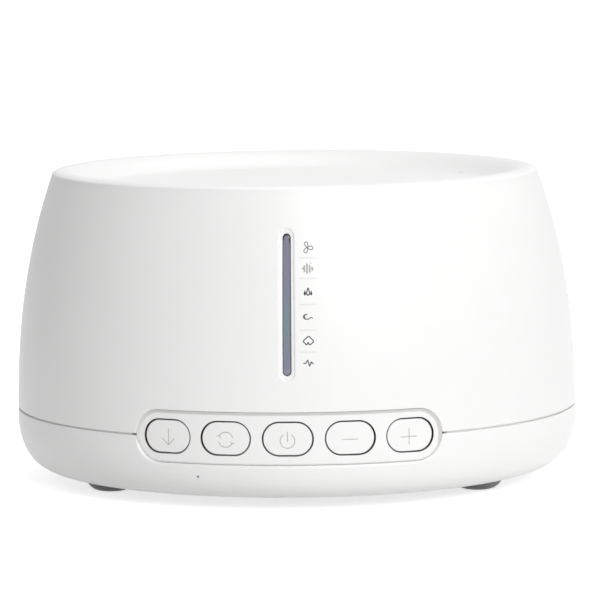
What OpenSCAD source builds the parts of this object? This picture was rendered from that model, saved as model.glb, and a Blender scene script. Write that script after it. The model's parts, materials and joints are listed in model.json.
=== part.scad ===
// White noise sound machine: a round two-part housing with a dished top, a light bar,
// five keys in a curved panel, and a loudspeaker that fires down through the base.
// Millimetres. +Z is up, the front faces -Y, and the origin is under the centre, at the soles of the feet.

/* [Body] */
// Diameter at the widest level
body_d = 140; // [132:1:160]
// Height of the rim's crest above the underside of the base
body_h = 74.6; // [70:0.2:95]
// Width of the rounded corner between the widest level and the flat underside
corner_w = 13.3; // [11:0.1:15]
// How far the side wall leans in between the widest level and the rim
wall_lean = 9.7; // [6:0.1:12]
// Height of the widest level above the underside
widest_h = 12.4; // [10:0.1:14.4]
// Height of the seam between the housings above the underside
seam_h = 15.4; // [15:0.1:17]
// Squareness of the bowl's corner, seen sideways
bowl_n = 3.2; // [2.4:0.1:4]
// Squareness of the bowl's corner, seen upwards
bowl_m = 1.9; // [1.6:0.05:2.4]
// How late the side wall starts to lean in
wall_power = 2.33; // [1.9:0.01:2.8]
// Thickness of both housings' walls
wall = 2.4; // [1.8:0.1:3]
// Width of the rounding outside the rim's crest
rim_round_w = 2.4; // [2:0.1:5]
// Height of the rounding outside the rim's crest
rim_round_h = 1.1; // [0.6:0.1:2.5]
// Diameter of the dish's flat middle
dish_d = 92; // [80:1:98]
// Depth of the dish below the crest
dish_depth = 4; // [2:0.1:5]

/* [Seam] */
// Open line between the two housings
seam_gap = 0.4; // [0.2:0.05:0.6]
// Height of the lip that closes the seam from inside
lip_h = 2.4; // [1.6:0.1:4]
// Thickness of the lip
lip_t = 1.2; // [0.8:0.1:1.6]
// Side clearance of the lip and of other fitted plastic edges
fit_gap = 0.1; // [0.05:0.01:0.2]

/* [Key panel] */
// Width of the panel along the body's surface
panel_w = 77.5; // [73:0.1:82]
// Height of the panel
panel_h = 12.7; // [11.5:0.1:14]
// Depth of the panel's face below the housing's surface
panel_recess = 0.7; // [0.4:0.05:1]
// Thickness of the panel
panel_t = 2.2; // [1.8:0.1:2.8]
// Gap between the panel and the notch in the upper housing
panel_gap = 0.35; // [0.2:0.05:0.5]
// Width of the rib that backs the gap round the panel
panel_rib = 1.6; // [1.2:0.1:2]

/* [Keys] */
// Width of a key cap
key_w = 11.75; // [9.5:0.05:12]
// Height of a key cap
key_h = 7.65; // [6.5:0.05:8.4]
// Gap round a key cap
key_gap = 0.35; // [0.2:0.05:0.5]
// Depth of the caps' faces below the panel's face
key_sink = 0.25; // [0:0.05:0.5]
// Angle from one key to the next
key_pitch = 12.34; // [11.5:0.02:12.6]
// Travel of a key
key_travel = 0.5; // [0.2:0.05:0.8]
// Thickness of a cap's front
key_skin = 1.4; // [1:0.1:1.8]
// Thickness of a cap's side walls
key_side = 1.1; // [0.8:0.05:1.4]
// Width of a cap's stop flange beyond its sides
flange_w = 0.8; // [0.5:0.05:1]
// Thickness of the stop flange
flange_t = 1; // [0.8:0.1:1.5]
// Clearance of the stop flange behind the panel at rest
flange_gap = 0.08; // [0.05:0.01:0.15]
// Diameter of a cap's stem
stem_d = 2.6; // [2:0.1:3.2]

/* [Key switches] */
// Side of a switch's square body
switch_w = 6; // [5:0.1:6.4]
// Depth of a switch's body
switch_t = 3.5; // [3:0.1:4.3]
// Diameter of a switch's plunger
plunger_d = 3.4; // [2.6:0.1:4]
// How far a plunger stands out of its body
plunger_out = 1; // [0.8:0.05:1.6]
// How far a plunger reaches into its body
plunger_in = 1.5; // [1:0.1:1.8]
// Radial clearance of a plunger in its body
plunger_gap = 0.05; // [0.03:0.01:0.1]
// Space between the stop flanges and the switches
switch_space = 3.9; // [3:0.1:4.5]
// Thickness of the flexible circuit
flex_t = 0.3; // [0.2:0.05:0.5]
// Thickness of the curved carrier behind the circuit
carrier_t = 2; // [1.6:0.1:3]
// Half angle that the carrier spans
carrier_span = 32; // [30:0.5:40]

/* [Light bar] */
// Width of the light bar
bar_w = 1.9; // [1.6:0.1:3]
// Height of the light bar's lower end above the seam
bar_rise = 15.05; // [14.5:0.05:20]
// Drop from the rim's crest to the top of the bar
bar_drop = 11.1; // [9.5:0.05:12]
// Width of the shallow margin round the bar
bar_margin = 0.95; // [0.5:0.05:1.4]
// Depth of the margin, and of the bar's face
bar_recess = 0.5; // [0.3:0.05:0.8]
// Clearance of the bar in its slot
bar_gap = 0.1; // [0.05:0.01:0.2]
// Thickness of the bar's flange behind the wall
bar_flange = 1.2; // [0.8:0.1:1.8]
// Number of lamps behind the bar
lamp_count = 6; // [3:1:8]
// Depth of the baffle that parts the lamps
baffle_t = 3.4; // [2.4:0.1:5]
// Thickness of all circuit boards
board_t = 1.6; // [1:0.1:2]

/* [Loudspeaker] */
// Width of the speaker's rim outside the surround
speaker_rim_w = 6.1; // [5.6:0.1:9]
// Diameter of the moving cone with its dust cap
cone_d = 39; // [34:0.5:41]
// Height of the ring that the speaker stands on
speaker_ring_h = 5.1; // [4.6:0.1:8]
// Height of the speaker's frame
basket_h = 12; // [11:0.5:16]
// Diameter of the magnet
magnet_d = 45; // [40:0.5:50]
// Height of the magnet ring
magnet_h = 6.5; // [5:0.5:10]
// Diameter of the voice coil's former
coil_d = 20.4; // [18:0.1:23]
// Clearance of the voice coil in the magnet's gap
coil_gap = 0.35; // [0.25:0.05:0.5]
// Travel of the cone each way from rest
cone_travel = 1; // [0.5:0.1:1.5]
// Diameter of the holes in the base's grille
grille_hole = 2.2; // [1.6:0.1:2.8]
// Distance between the grille's holes
grille_pitch = 3.9; // [3.4:0.1:5]

/* [Power and main board] */
// Length of the main board along the rear wall
main_l = 62; // [56:0.5:66]
// Width of the main board, between the speaker and the rear wall
main_w = 23; // [21.5:0.5:24]
// Height of the main board's posts
main_post_h = 2; // [1.6:0.1:2.2]
// Bore of the power inlet
inlet_d = 5.6; // [4:0.1:6]
// Diameter of the power inlet's pin
inlet_pin_d = 2; // [1.4:0.1:2.6]
// Outer diameter of the power inlet's nose
inlet_nose_d = 7.4; // [6.8:0.1:7.6]
// Depth of the power inlet's flat seat below the housing's surface
inlet_sink = 1.8; // [1.2:0.1:2]
// Height of the power inlet's body above the main board
inlet_body_h = 8; // [7.6:0.1:8.2]

/* [Feet and screws] */
// Height of the feet below the underside
foot_h = 3; // [2:0.1:6]
// Diameter of a foot at its sole
foot_d = 11; // [8:0.1:12]
// Diameter of a foot at the base
foot_top_d = 12.4; // [10:0.1:13.4]
// Depth of the pocket that a foot is glued in
foot_pocket = 0.8; // [0.4:0.1:1.2]
// Distance of the feet's middles inside the edge of the flat underside
foot_inset = 4.7; // [4:0.1:8]
// Angle of the feet from the front, and from the back
foot_angle = 60; // [52:1:64]
// Diameter of the housing screws
screw_d = 3; // [2.5:0.1:3.5]
// Diameter of the small screws
small_screw_d = 2; // [1.6:0.1:2.4]
// Radial clearance of a screw in its hole
screw_gap = 0.05; // [0.03:0.01:0.1]

/* [Hidden] */
$fn = 96;

SHELL_STEPS = 28; // levels along the side wall
BOWL_STEPS = 20;  // levels along the bowl
RIM_STEPS = 8;    // points round the rim
DISH_STEPS = 14;  // points down the side of the dish

// Levels
body_r = body_d / 2;
base_r = body_r - corner_w;
rim_r = body_r - wall_lean;
base_z = foot_h;
floor_z = base_z + wall;
widest_z = base_z + widest_h;
seam_z = base_z + seam_h;
crest_z = base_z + body_h;
crest_r = rim_r - rim_round_w;
dish_z = crest_z - dish_depth;
dish_r = dish_d / 2;
far = body_r + 10;
cut = 1;    // how far a cut runs past a face
root = 0.5; // how far a post runs into what it stands on

// Radius of the outside at a level
function shell_r(z) = z >= widest_z
    ? body_r - (body_r - rim_r) * pow((z - widest_z) / (crest_z - widest_z), wall_power)
    : base_r + (body_r - base_r)
        * pow(1 - pow((widest_z - z) / (widest_z - base_z), bowl_m), 1 / bowl_n);
// Radius of the bowl's inside at a level, set in further by more
function bowl_in_r(z, more = 0) = base_r - wall - more + (body_r - base_r)
    * pow(max(0, 1 - pow((widest_z - z) / (widest_z - floor_z - more), bowl_m)), 1 / bowl_n);
// Radius of the housings' inside at a level
function inside_r(z, more = 0) = z >= widest_z ? shell_r(z) - wall - more : bowl_in_r(z, more);
// Height of the dish's upper surface at a radius
function dish_top(r) = dish_z
    + dish_depth * (1 + cos(180 * max(0, crest_r - r) / (crest_r - dish_r))) / 2 * (r > dish_r ? 1 : 0);
// Levels from a to b, closer together near a
function eased_up(a, b, n) = [for (i = [0:n]) a + (b - a) * (1 - cos(90 * i / n))];
function evenly(a, b, n) = [for (i = [0:n]) a + (b - a) * i / n];
function backwards(list) = [for (i = [len(list) - 1:-1:0]) list[i]];

// Keys, from left to right
KEY_LEFT = -2;
function key_angle(k) = (KEY_LEFT + k) * key_pitch;
key_z = seam_z;
panel_face_r = shell_r(key_z) - panel_recess;
panel_back_r = panel_face_r - panel_t;
cap_front_r = panel_face_r - key_sink;
panel_sunk = 1; // how far the panel runs into the bowl round its lower half
flange_r = panel_back_r - flange_gap;
switch_front_r = flange_r - flange_t - switch_space;
plunger_tip_r = switch_front_r + plunger_out;
flex_r = switch_front_r - switch_t;
carrier_r = flex_r - flex_t;

// Light bar
bar_l = crest_z - bar_drop - seam_z - bar_rise;
bar_z = seam_z + bar_rise + bar_l / 2;
bar_low_r = shell_r(bar_z - bar_l / 2);
bar_high_r = shell_r(bar_z + bar_l / 2);
bar_lean = atan((bar_low_r - bar_high_r) / bar_l);
bar_back_r = (bar_low_r + bar_high_r) / 2 - wall;
bar_flange_w = 1;
baffle_y = bar_flange + 0.5;
lamp_board_y = baffle_y + baffle_t;
lamp_screw_out = 3.6; // distance of the lamp board's screws beyond the bar's ends
lamp_board_out = 6.2; // distance of the lamp board's ends beyond the bar's ends
lamp_screw_z = bar_l / 2 + lamp_screw_out;
lamp_board_l = bar_l + 2 * lamp_board_out;
lamp_board_w = 8;
lamp_pitch = bar_l / lamp_count;
lamp_post_r = 2.2;
lamp_w = 2;
lamp_t = 0.9;
lamp_l = 1.6;
cell_wall = 1; // thickness of the baffle's bars
led_ribbon_w = 5;
ribbon_lift = 2.2; // rise of the ribbon over the lower screw

// Loudspeaker
SPEAKER_SCREWS = 4;
ring_z = floor_z + speaker_ring_h;
gasket_t = 0.8;
frame_z = ring_z + gasket_t;
frame_t = 1.2;
cone_r = cone_d / 2;
surround_w = 3.4;
surround_t = 0.5;
lip_r = cone_r + surround_w;
speaker_r = lip_r + speaker_rim_w;
speaker_screw_r = speaker_r + 2;
spider_h = 7.44; // height of the spider above the frame's face
spider_z = frame_z + spider_h;
plate_z = frame_z + basket_h;
plate_t = 3;
magnet_r = magnet_d / 2;
magnet_z = plate_z + plate_t;
yoke_z = magnet_z + magnet_h;
coil_r = coil_d / 2;
former_t = 0.2;
winding_t = 0.4;
pole_r = coil_r - former_t - coil_gap;
gap_r = coil_r + winding_t + coil_gap;
cone_t = 0.6;
neck_z = spider_z - 0.6 - cone_travel;
spider_r = cone_r - 0.2;
spider_t = 0.4;
spider_land = 2.3; // width of the spider's flat edge, and of the frame's ledge above it
spider_wave = 0.5;
coil_mid_z = plate_z + plate_t / 2;
coil_l = plate_t + cone_travel;
speaker_post_r = 3;
mesh_t = 0.3;
LUGS = [-3, 3];
lug_w = 2;
lug_t = 0.4;
lug_l = 1.6;
lug_h = 3.4;
terminal_w = 10;
terminal_h = 6;
terminal_t = 1.2;
terminal_y = speaker_r - 1.6;
terminal_z = frame_z + frame_t;
wire_d = 1.2;
wire_gap = 0.3;
WIRE_STEPS = 12;

// Main board and power inlet
board_z = floor_z + main_post_h;
board_top_z = board_z + board_t;
main_back_y = inside_r(board_z) - 4.4;
main_y = main_back_y - main_w;
inlet_z = board_top_z + inlet_body_h / 2;
inlet_seat_d = inlet_nose_d + 1.6;
inlet_face_y = shell_r(inlet_z) - inlet_sink;
inlet_wall_y = inside_r(board_top_z) - 0.6;
inlet_w = 9;
inlet_l = 12.5;
inlet_depth = 9.5;
post_r = 2.6;
MAIN_SCREWS = [[-main_l / 2 + 4, main_y + 4], [main_l / 2 - 4, main_y + 4],
    [-17, main_back_y - 4.5], [17, main_back_y - 4.5]];
// Each chip: place from the middle of the board's front edge, width, depth and height
CHIPS = [[-9, 12, 7, 7, 1], [3.5, 10, 5, 6, 1.2], [-18, 6, 5, 4, 1.2], [-11, 18.5, 6.5, 3.5, 1.8]];
CAPACITORS = [[14, 9], [21.5, 12.5], [11, 16.5]];
cap_can_d = 6.3;
cap_can_h = 7.2;
INDUCTOR = [-8, 4.5];
inductor_w = 6;
inductor_h = 2.8;
speaker_socket = [4, 4];
socket_pitch = 2.5;

// Carrier of the keys, tail of the flexible circuit, and microphone
carrier_post_h = 2;
carrier_top_h = 2; // height of the carrier above the keys
carrier_foot_z = floor_z + carrier_post_h;
carrier_foot_t = 2;
carrier_top_z = key_z + key_h / 2 + carrier_top_h;
carrier_foot_w = 8;
carrier_foot_l = 7.5;
carrier_screw_r = carrier_r - carrier_t - 4;
CARRIER_FEET = [-22, 22];
tail_w = 4;
tail_z = board_top_z + 0.6;
tail_end = -152;
socket_h = tail_z + tail_w + 1.2 - board_top_z;
flex_post_w = 4;
FLEX_POSTS = [-48, -90, -132];
mic_angle = -18.3;
mic_h = 6; // height of the microphone above the underside
mic_z = base_z + mic_h;
mic_d = 4;
mic_t = 1.8;
pinhole_d = 0.8;
boot_wall = 1;

// Feet and housing screws
boss_r = 4.5;
boss_h = 17;         // height of the lower screw posts above the underside
head_seat_h = 6;     // height of the screws' heads above the underside
boss_top_z = base_z + boss_h;
head_seat_z = base_z + head_seat_h;
upper_boss_r = boss_r - 0.5;
screw_bite = 8;      // how far the housing screws reach into the upper housing
screw_hole_gap = 0.15; // radial clearance of the holes that screws pass through
head_gap = 0.2;      // radial clearance of screw heads and feet in their pockets
screw_floor_z = base_z + wall / 2; // bottom of the small screws' holes
screw_r = screw_d / 2;
small_r = small_screw_d / 2;
HEAD_RATIO = 1.9;    // a screw head's radius over its shaft's
FEET = [[-1, -1], [1, -1], [-1, 1], [1, 1]];
foot_x = (base_r - foot_inset) * sin(foot_angle);
foot_y = (base_r - foot_inset) * cos(foot_angle);

// Colours
WHITE = [0.95, 0.95, 0.94];
SLATE = [0.42, 0.46, 0.52];
RUBBER = [0.25, 0.25, 0.26];
BOARD = [0.1, 0.35, 0.2];
STEEL = [0.7, 0.7, 0.72];
BLACK = [0.08, 0.08, 0.08];

// ---------- helpers ----------

// A pill lying along x
module pill(w, h) {
    for (s = [-1, 1]) translate([s * (w - h) / 2, 0]) circle(d = h);
    square([w - h, h], center = true);
}

// Carries a flat shape in x and z along the front, from radius r0 out to r1
module front(r0, r1) {
    translate([0, -r0, 0]) rotate([90, 0, 0]) linear_extrude(r1 - r0) children();
}

// A ring that follows the outside between two levels, from depth d0 to depth d1
module skin(z0, z1, d0, d1, steps = 12) {
    zs = evenly(z0, z1, steps);
    rotate_extrude() polygon(concat(
        [for (z = zs) [shell_r(z) - d0, z]],
        backwards([for (z = zs) [shell_r(z) - d1, z]])
    ));
}

module ring(r0, r1, h) {
    difference() {
        cylinder(r = r1, h = h);
        translate([0, 0, -1]) cylinder(r = r0, h = h + 2);
    }
}

// A sector of a ring, from angle a0 to a1 of the front, level z0 to z1 and radius r0 to r1
module sector(a0, a1, z0, z1, r0, r1) {
    rotate([0, 0, -90 + a0]) rotate_extrude(angle = a1 - a0) translate([r0, z0]) square([r1 - r0, z1 - z0]);
}

module at_feet() {
    for (f = FEET) translate([f[0] * foot_x, f[1] * foot_y, 0]) children();
}

module at_speaker_screws() {
    for (k = [0:SPEAKER_SCREWS - 1])
        rotate([0, 0, 45 + 360 / SPEAKER_SCREWS * k]) translate([speaker_screw_r, 0, 0]) children();
}

// A pan-head screw with its head's underside at z = 0, pointing down
module screw(r, l) {
    translate([0, 0, -l]) cylinder(r = r, h = l);
    difference() {
        cylinder(r1 = r * HEAD_RATIO, r2 = r * 1.5, h = r * 1.2);
        translate([0, 0, r * 0.7]) for (a = [0, 90])
            rotate([0, 0, a]) translate([-r, -r * 0.15, 0]) cube([2 * r, r * 0.3, r]);
    }
}

// The outline of the panel, wrapped on the body: a flat pill at the middle key and one at each end
module panel_sector(grow, r0, r1) {
    end_angle = (panel_w - panel_h) / 2 / body_r * 180 / PI;
    for (s = [-1, 1]) rotate([0, 0, s * end_angle]) translate([0, 0, key_z])
        front(r0, r1) circle(d = panel_h + 2 * grow);
    sector(-end_angle, end_angle, key_z - panel_h / 2 - grow, key_z + panel_h / 2 + grow, r0, r1);
}

// What lies above a level, and what lies below it
module above(z) {
    intersection() {
        children();
        translate([-far, -far, z]) cube([2 * far, 2 * far, far]);
    }
}
module below(z) {
    intersection() {
        children();
        translate([-far, -far, z - far]) cube([2 * far, 2 * far, far]);
    }
}

// ---------- housings ----------

module upper_shell() {
    low = seam_z + seam_gap / 2;
    high = crest_z - rim_round_h;
    zs = evenly(low, high, SHELL_STEPS);
    edge_r = shell_r(high);
    rim_in = edge_r - wall;
    top_in = max(dish_top(rim_in - 1), dish_z) - wall;
    in_zs = evenly(low, top_in, SHELL_STEPS);
    dish_rs = evenly(dish_r, crest_r, DISH_STEPS);
    rotate_extrude() polygon(concat(
        [for (z = zs) [shell_r(z), z]],
        [for (i = [1:RIM_STEPS - 1]) let (a = 90 * i / RIM_STEPS)
            [edge_r - (edge_r - crest_r) * (1 - cos(a)), high + rim_round_h * sin(a)]],
        backwards([for (r = dish_rs) [r, dish_top(r)]]),
        [[0, dish_z], [0, dish_z - wall]],
        [for (r = dish_rs) if (r < rim_in - 1.5) [r, dish_top(r) - wall]],
        backwards([for (z = in_zs) [shell_r(z) - wall, z]])
    ));
}

// Everything below the middle of the top's thickness
module under_dish() {
    rotate_extrude() polygon(concat(
        [[0, base_z], [rim_r, base_z], [rim_r, crest_z - wall / 2]],
        backwards([for (r = evenly(dish_r, crest_r, DISH_STEPS)) [r, dish_top(r) - wall / 2]]),
        [[0, dish_z - wall / 2]]
    ));
}

module upper_housing() color(WHITE) difference() {
    union() {
        difference() {
            upper_shell();
            above(seam_z) panel_sector(0, panel_back_r - 4, far);
            // margin and slot of the light bar
            intersection() {
                skin(bar_z - bar_l / 2 - 5, bar_z + bar_l / 2 + 5, -2, bar_recess);
                translate([0, 0, bar_z]) front(body_r / 2, far) rotate(90)
                    pill(bar_l + 2 * bar_margin, bar_w + 2 * bar_margin);
            }
            translate([0, 0, bar_z]) front(body_r / 2, far) rotate(90)
                pill(bar_l + 2 * bar_gap, bar_w + 2 * bar_gap);
        }
        // screw posts, from the lower housing's posts up into the dish's underside
        intersection() {
            translate([0, 0, boss_top_z]) at_feet() cylinder(r = upper_boss_r, h = far);
            under_dish();
        }
        // two posts that hold the lamp board
        lamp_frame() for (s = [-1, 1]) translate([0, -2 * root, s * lamp_screw_z])
            rotate([-90, 0, 0]) cylinder(r = lamp_post_r, h = lamp_board_y + 2 * root);
    }
    translate([0, 0, boss_top_z - cut]) at_feet()
        cylinder(r = screw_r + screw_gap, h = screw_bite + 3 * cut);
    lamp_frame() for (s = [-1, 1]) translate([0, root, s * lamp_screw_z])
        rotate([-90, 0, 0]) cylinder(r = small_r + screw_gap, h = lamp_board_y);
}

module lower_shell() {
    high = seam_z - seam_gap / 2;
    zs = concat(eased_up(base_z, widest_z, BOWL_STEPS), [high]);
    in_zs = concat(eased_up(floor_z, widest_z, BOWL_STEPS), [high]);
    rotate_extrude() polygon(concat(
        [[0, base_z]],
        [for (z = zs) [shell_r(z), z]],
        backwards([for (z = in_zs) [inside_r(z), z]]),
        [[0, floor_z]]
    ));
}

// The space inside the lower housing, smaller by more all round
module cavity(more) {
    zs = eased_up(floor_z + more, widest_z, BOWL_STEPS);
    rotate_extrude() polygon(concat(
        [[0, floor_z + more]],
        [for (z = zs) [inside_r(z, more), z]],
        [[0, widest_z]]
    ));
}

// The inner lip that closes the seam, with a ledge that joins it to the wall below
module seam_lip() {
    high = seam_z + lip_h;
    ledge = max(widest_z + 0.1, seam_z - seam_gap / 2 - lip_h);
    lip_in_r = shell_r(high) - wall - fit_gap - lip_t;
    rotate_extrude() polygon([
        [shell_r(high) - wall - fit_gap, high],
        [shell_r(seam_z) - wall - fit_gap, seam_z - seam_gap / 2],
        [shell_r(seam_z) - wall + 0.4, seam_z - seam_gap / 2],
        [shell_r(ledge) - wall + 0.4, ledge],
        [shell_r(ledge) - wall, ledge],
        [lip_in_r, ledge + lip_t],
        [lip_in_r, high]
    ]);
}

module key_panel() {
    low = key_z - panel_h / 2 - 2;
    high = key_z + panel_h / 2 + panel_rib + 1;
    lower_edge = seam_z - seam_gap / 2;
    r0 = panel_back_r - 6;
    // face of the panel: free of the notch above the seam, set in the bowl below it
    intersection() {
        skin(low, high, panel_recess, panel_recess + panel_t);
        union() {
            above(lower_edge - 0.5) panel_sector(-panel_gap, r0, far);
            below(lower_edge) panel_sector(panel_sunk, r0, far);
        }
    }
    // rib that stands behind the notch's edge
    intersection() {
        skin(low, high, wall + fit_gap, panel_recess + panel_t + 0.6);
        above(lower_edge - 1) difference() {
            panel_sector(panel_rib, r0, far);
            panel_sector(-panel_rib, r0 - 1, far + 1);
        }
    }
}

module lower_housing() color(WHITE) difference() {
    union() {
        difference() {
            union() {
                lower_shell();
                seam_lip();
            }
            panel_sector(0, panel_back_r - 4, far);
            above(widest_z) panel_sector(panel_rib + 1, panel_back_r - 6, body_r - wall);
        }
        key_panel();
        translate([0, 0, floor_z - root]) {
            at_feet() cylinder(r = boss_r, h = boss_top_z - floor_z + root);
            ring(lip_r + 0.9, speaker_r, speaker_ring_h + root);
            at_speaker_screws() cylinder(r = speaker_post_r, h = frame_z - floor_z + root);
            at_main_screws() cylinder(r = post_r, h = main_post_h + root);
            at_carrier_screws() cylinder(r = post_r, h = carrier_foot_z - floor_z + root);
        }
        // slotted posts that hold the flexible circuit's tail
        for (a = FLEX_POSTS) rotate([0, 0, a]) translate([-flex_post_w / 2, -flex_r - 1.6, floor_z - root])
            cube([flex_post_w, flex_t + 3.2, tail_z - floor_z + tail_w * 0.6 + root]);
    }
    for (k = [0:4]) rotate([0, 0, key_angle(k)]) translate([0, 0, key_z])
        front(panel_back_r - 3, far) pill(key_w + 2 * key_gap, key_h + 2 * key_gap);
    for (a = FLEX_POSTS) rotate([0, 0, a]) translate([-flex_post_w / 2 - cut, -flex_r - fit_gap, tail_z])
        cube([flex_post_w + 2 * cut, flex_t + 2 * fit_gap, tail_w]);
    // pinhole of the microphone
    rotate([0, 0, mic_angle]) translate([0, 0, mic_z]) front(base_r, far) circle(d = pinhole_d);
    grille();
    at_feet() {
        translate([0, 0, base_z - cut]) cylinder(r = foot_top_d / 2 + head_gap, h = foot_pocket + cut);
        translate([0, 0, base_z]) cylinder(r = screw_r * HEAD_RATIO + head_gap, h = head_seat_z - base_z);
        translate([0, 0, base_z]) cylinder(r = screw_r + screw_hole_gap, h = boss_top_z);
    }
    post_holes(frame_z) at_speaker_screws() circle(small_r + screw_gap);
    post_holes(board_z) at_main_screws() circle(small_r + screw_gap);
    post_holes(carrier_foot_z) at_carrier_screws() circle(small_r + screw_gap);
    // seat and hole of the power inlet
    translate([0, inlet_face_y, inlet_z]) rotate([-90, 0, 0]) cylinder(d = inlet_seat_d, h = far);
    translate([0, body_r / 2, inlet_z]) rotate([-90, 0, 0])
        cylinder(d = inlet_nose_d + 2 * fit_gap, h = body_r);
}

// Blind holes for small screws, from the top of their posts down into the floor
module post_holes(top) {
    translate([0, 0, screw_floor_z]) linear_extrude(top - screw_floor_z + cut) children();
}

// Holes of the sound outlet, on a triangular grid
module grille() {
    reach = floor(cone_r / grille_pitch);
    for (i = [-2 * reach:2 * reach], j = [-reach - 1:reach + 1]) {
        x = (i + (abs(j) % 2) / 2) * grille_pitch;
        y = j * grille_pitch * sin(60);
        if (norm([x, y]) < cone_r)
            translate([x, y, base_z - 1]) cylinder(d = grille_hole, h = wall + 2, $fn = 24);
    }
}

// ---------- keys ----------

// A hollow cap with a stop flange and a stem, at the middle of the front
module key_cap() {
    low = key_z - key_h;
    high = key_z + key_h;
    back = panel_recess + panel_t + flange_gap;
    difference() {
        union() {
            intersection() {
                skin(low, high, panel_recess + key_sink, back + 0.1);
                translate([0, 0, key_z]) front(flange_r - 3, far) pill(key_w, key_h);
            }
            intersection() {
                skin(low, high, back, back + flange_t);
                translate([0, 0, key_z]) front(flange_r - 3, far)
                    pill(key_w + 2 * flange_w, key_h + 2 * flange_w);
            }
        }
        translate([0, 0, key_z]) front(flange_r - 3, cap_front_r - key_skin)
            pill(key_w - 2 * key_side, key_h - 2 * key_side);
    }
    translate([0, 0, key_z]) front(plunger_tip_r, cap_front_r - key_skin + 0.2) circle(d = stem_d);
}

module key(k) { color(WHITE) rotate([0, 0, key_angle(k)]) key_cap(); }

module button_arrow() key(0);
module button_loop() key(1);
module button_power() key(2);
module button_minus() key(3);
module button_plus() key(4);

module plunger(k) color(BLACK) rotate([0, 0, key_angle(k)]) translate([0, 0, key_z])
    front(switch_front_r - plunger_in, plunger_tip_r) circle(d = plunger_d);

module plunger_arrow() plunger(0);
module plunger_loop() plunger(1);
module plunger_power() plunger(2);
module plunger_minus() plunger(3);
module plunger_plus() plunger(4);

module switch_bodies() color(STEEL) difference() {
    for (k = [0:4]) rotate([0, 0, key_angle(k)]) translate([0, 0, key_z]) difference() {
        front(flex_r - 1, switch_front_r) square(switch_w, center = true);
        front(switch_front_r - plunger_in - key_travel - 0.2, switch_front_r + 1)
            circle(d = plunger_d + 2 * plunger_gap);
    }
    translate([0, 0, floor_z]) cylinder(r = flex_r, h = far, $fn = 180);
}

// Flexible circuit: a strip under the switches, a tab for the microphone, and a tail that runs
// round inside the left wall to the main board
module key_flex() {
    edge = carrier_span - 1;
    tab = 3;                // half angle of the microphone's tab
    tail_root = -edge + 5;  // right edge of the tail where it leaves the strip
    strip_z = key_z - key_h / 2;
    low = min(tail_z, mic_z - 1);
    high = carrier_top_z - 1;
    in_r = flex_r - 2 * flex_t;
    out_r = flex_r + flex_t;
    color([0.75, 0.45, 0.15]) difference() {
        sector(tail_end, edge, low, high, flex_r - flex_t, flex_r);
        sector(tail_end - 1, -edge, tail_z + tail_w, high + cut, in_r, out_r);
        sector(tail_end - 1, tail_root + 1, low - cut, tail_z, in_r, out_r);
        sector(tail_root, mic_angle - tab, low - cut, strip_z, in_r, out_r);
        sector(mic_angle + tab, edge + 1, low - cut, strip_z, in_r, out_r);
    }
}

// Curved plate behind the circuit, with two feet
module at_carrier_screws() {
    for (a = CARRIER_FEET) rotate([0, 0, a]) translate([0, -carrier_screw_r, 0]) children();
}
module key_carrier() color([0.2, 0.2, 0.22]) difference() {
    union() {
        sector(
            -carrier_span, carrier_span, carrier_foot_z, carrier_top_z,
            carrier_r - carrier_t, carrier_r
        );
        for (a = CARRIER_FEET) rotate([0, 0, a])
            translate([-carrier_foot_w / 2, -carrier_r + carrier_t - root, carrier_foot_z])
                cube([carrier_foot_w, carrier_foot_l + root, carrier_foot_t]);
    }
    at_carrier_screws() translate([0, 0, floor_z])
        cylinder(r = small_r + screw_hole_gap, h = carrier_foot_z);
}

module key_carrier_screws() color(STEEL) translate([0, 0, carrier_foot_z + carrier_foot_t])
    at_carrier_screws() screw(small_r, carrier_foot_z + carrier_foot_t - floor_z);

// Microphone behind the pinhole, and the rubber sleeve that leads to it
module microphone() color(STEEL) difference() {
    rotate([0, 0, mic_angle]) translate([0, 0, mic_z]) front(carrier_r, flex_r + mic_t) circle(d = mic_d);
    cylinder(r = flex_r, h = seam_z, $fn = 180);
}

module microphone_boot() color(RUBBER) difference() {
    intersection() {
        rotate([0, 0, mic_angle]) translate([0, 0, mic_z])
            front(flex_r + flex_t, body_r) circle(d = mic_d + 2 * boot_wall);
        cavity(fit_gap);
    }
    rotate([0, 0, mic_angle]) translate([0, 0, mic_z]) {
        front(carrier_r, flex_r + mic_t + plunger_gap) circle(d = mic_d + 2 * plunger_gap);
        front(flex_r, body_r) circle(d = 2 * pinhole_d);
    }
    // clear of the panel's lower edge
    panel_sector(panel_sunk + fit_gap, panel_back_r - flange_t, far);
}

// ---------- light bar ----------

// Frame of the light bar's parts: x sideways, y inwards, z up along the leaning wall
module lamp_frame() {
    translate([0, -bar_back_r, bar_z]) rotate([-bar_lean, 0, 0]) children();
}

module light_bar() color(SLATE) {
    low = bar_z - bar_l / 2 - 4;
    high = bar_z + bar_l / 2 + 4;
    intersection() {
        skin(low, high, bar_recess, wall + 0.3);
        translate([0, 0, bar_z]) front(body_r / 2, far) rotate(90) pill(bar_l, bar_w);
    }
    intersection() {
        skin(low, high, wall + 0.05, wall + bar_flange);
        translate([0, 0, bar_z]) front(body_r / 2, far) rotate(90)
            pill(bar_l + 2 * bar_flange_w, bar_w + 2 * bar_flange_w);
    }
}

module light_baffle() color(BLACK) lamp_frame() difference() {
    translate([-lamp_board_w / 2 + 0.5, baffle_y, -bar_l / 2 - 0.6])
        cube([lamp_board_w - 1, baffle_t, bar_l + 1.2]);
    at_lamps() translate([-bar_w / 2 - 0.7, baffle_y - cut, -(lamp_pitch - cell_wall) / 2])
        cube([bar_w + 1.4, baffle_t + 2 * cut, lamp_pitch - cell_wall]);
}

module at_lamps() {
    for (i = [0:lamp_count - 1]) translate([0, 0, (i + 0.5) * lamp_pitch - bar_l / 2]) children();
}

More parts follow.
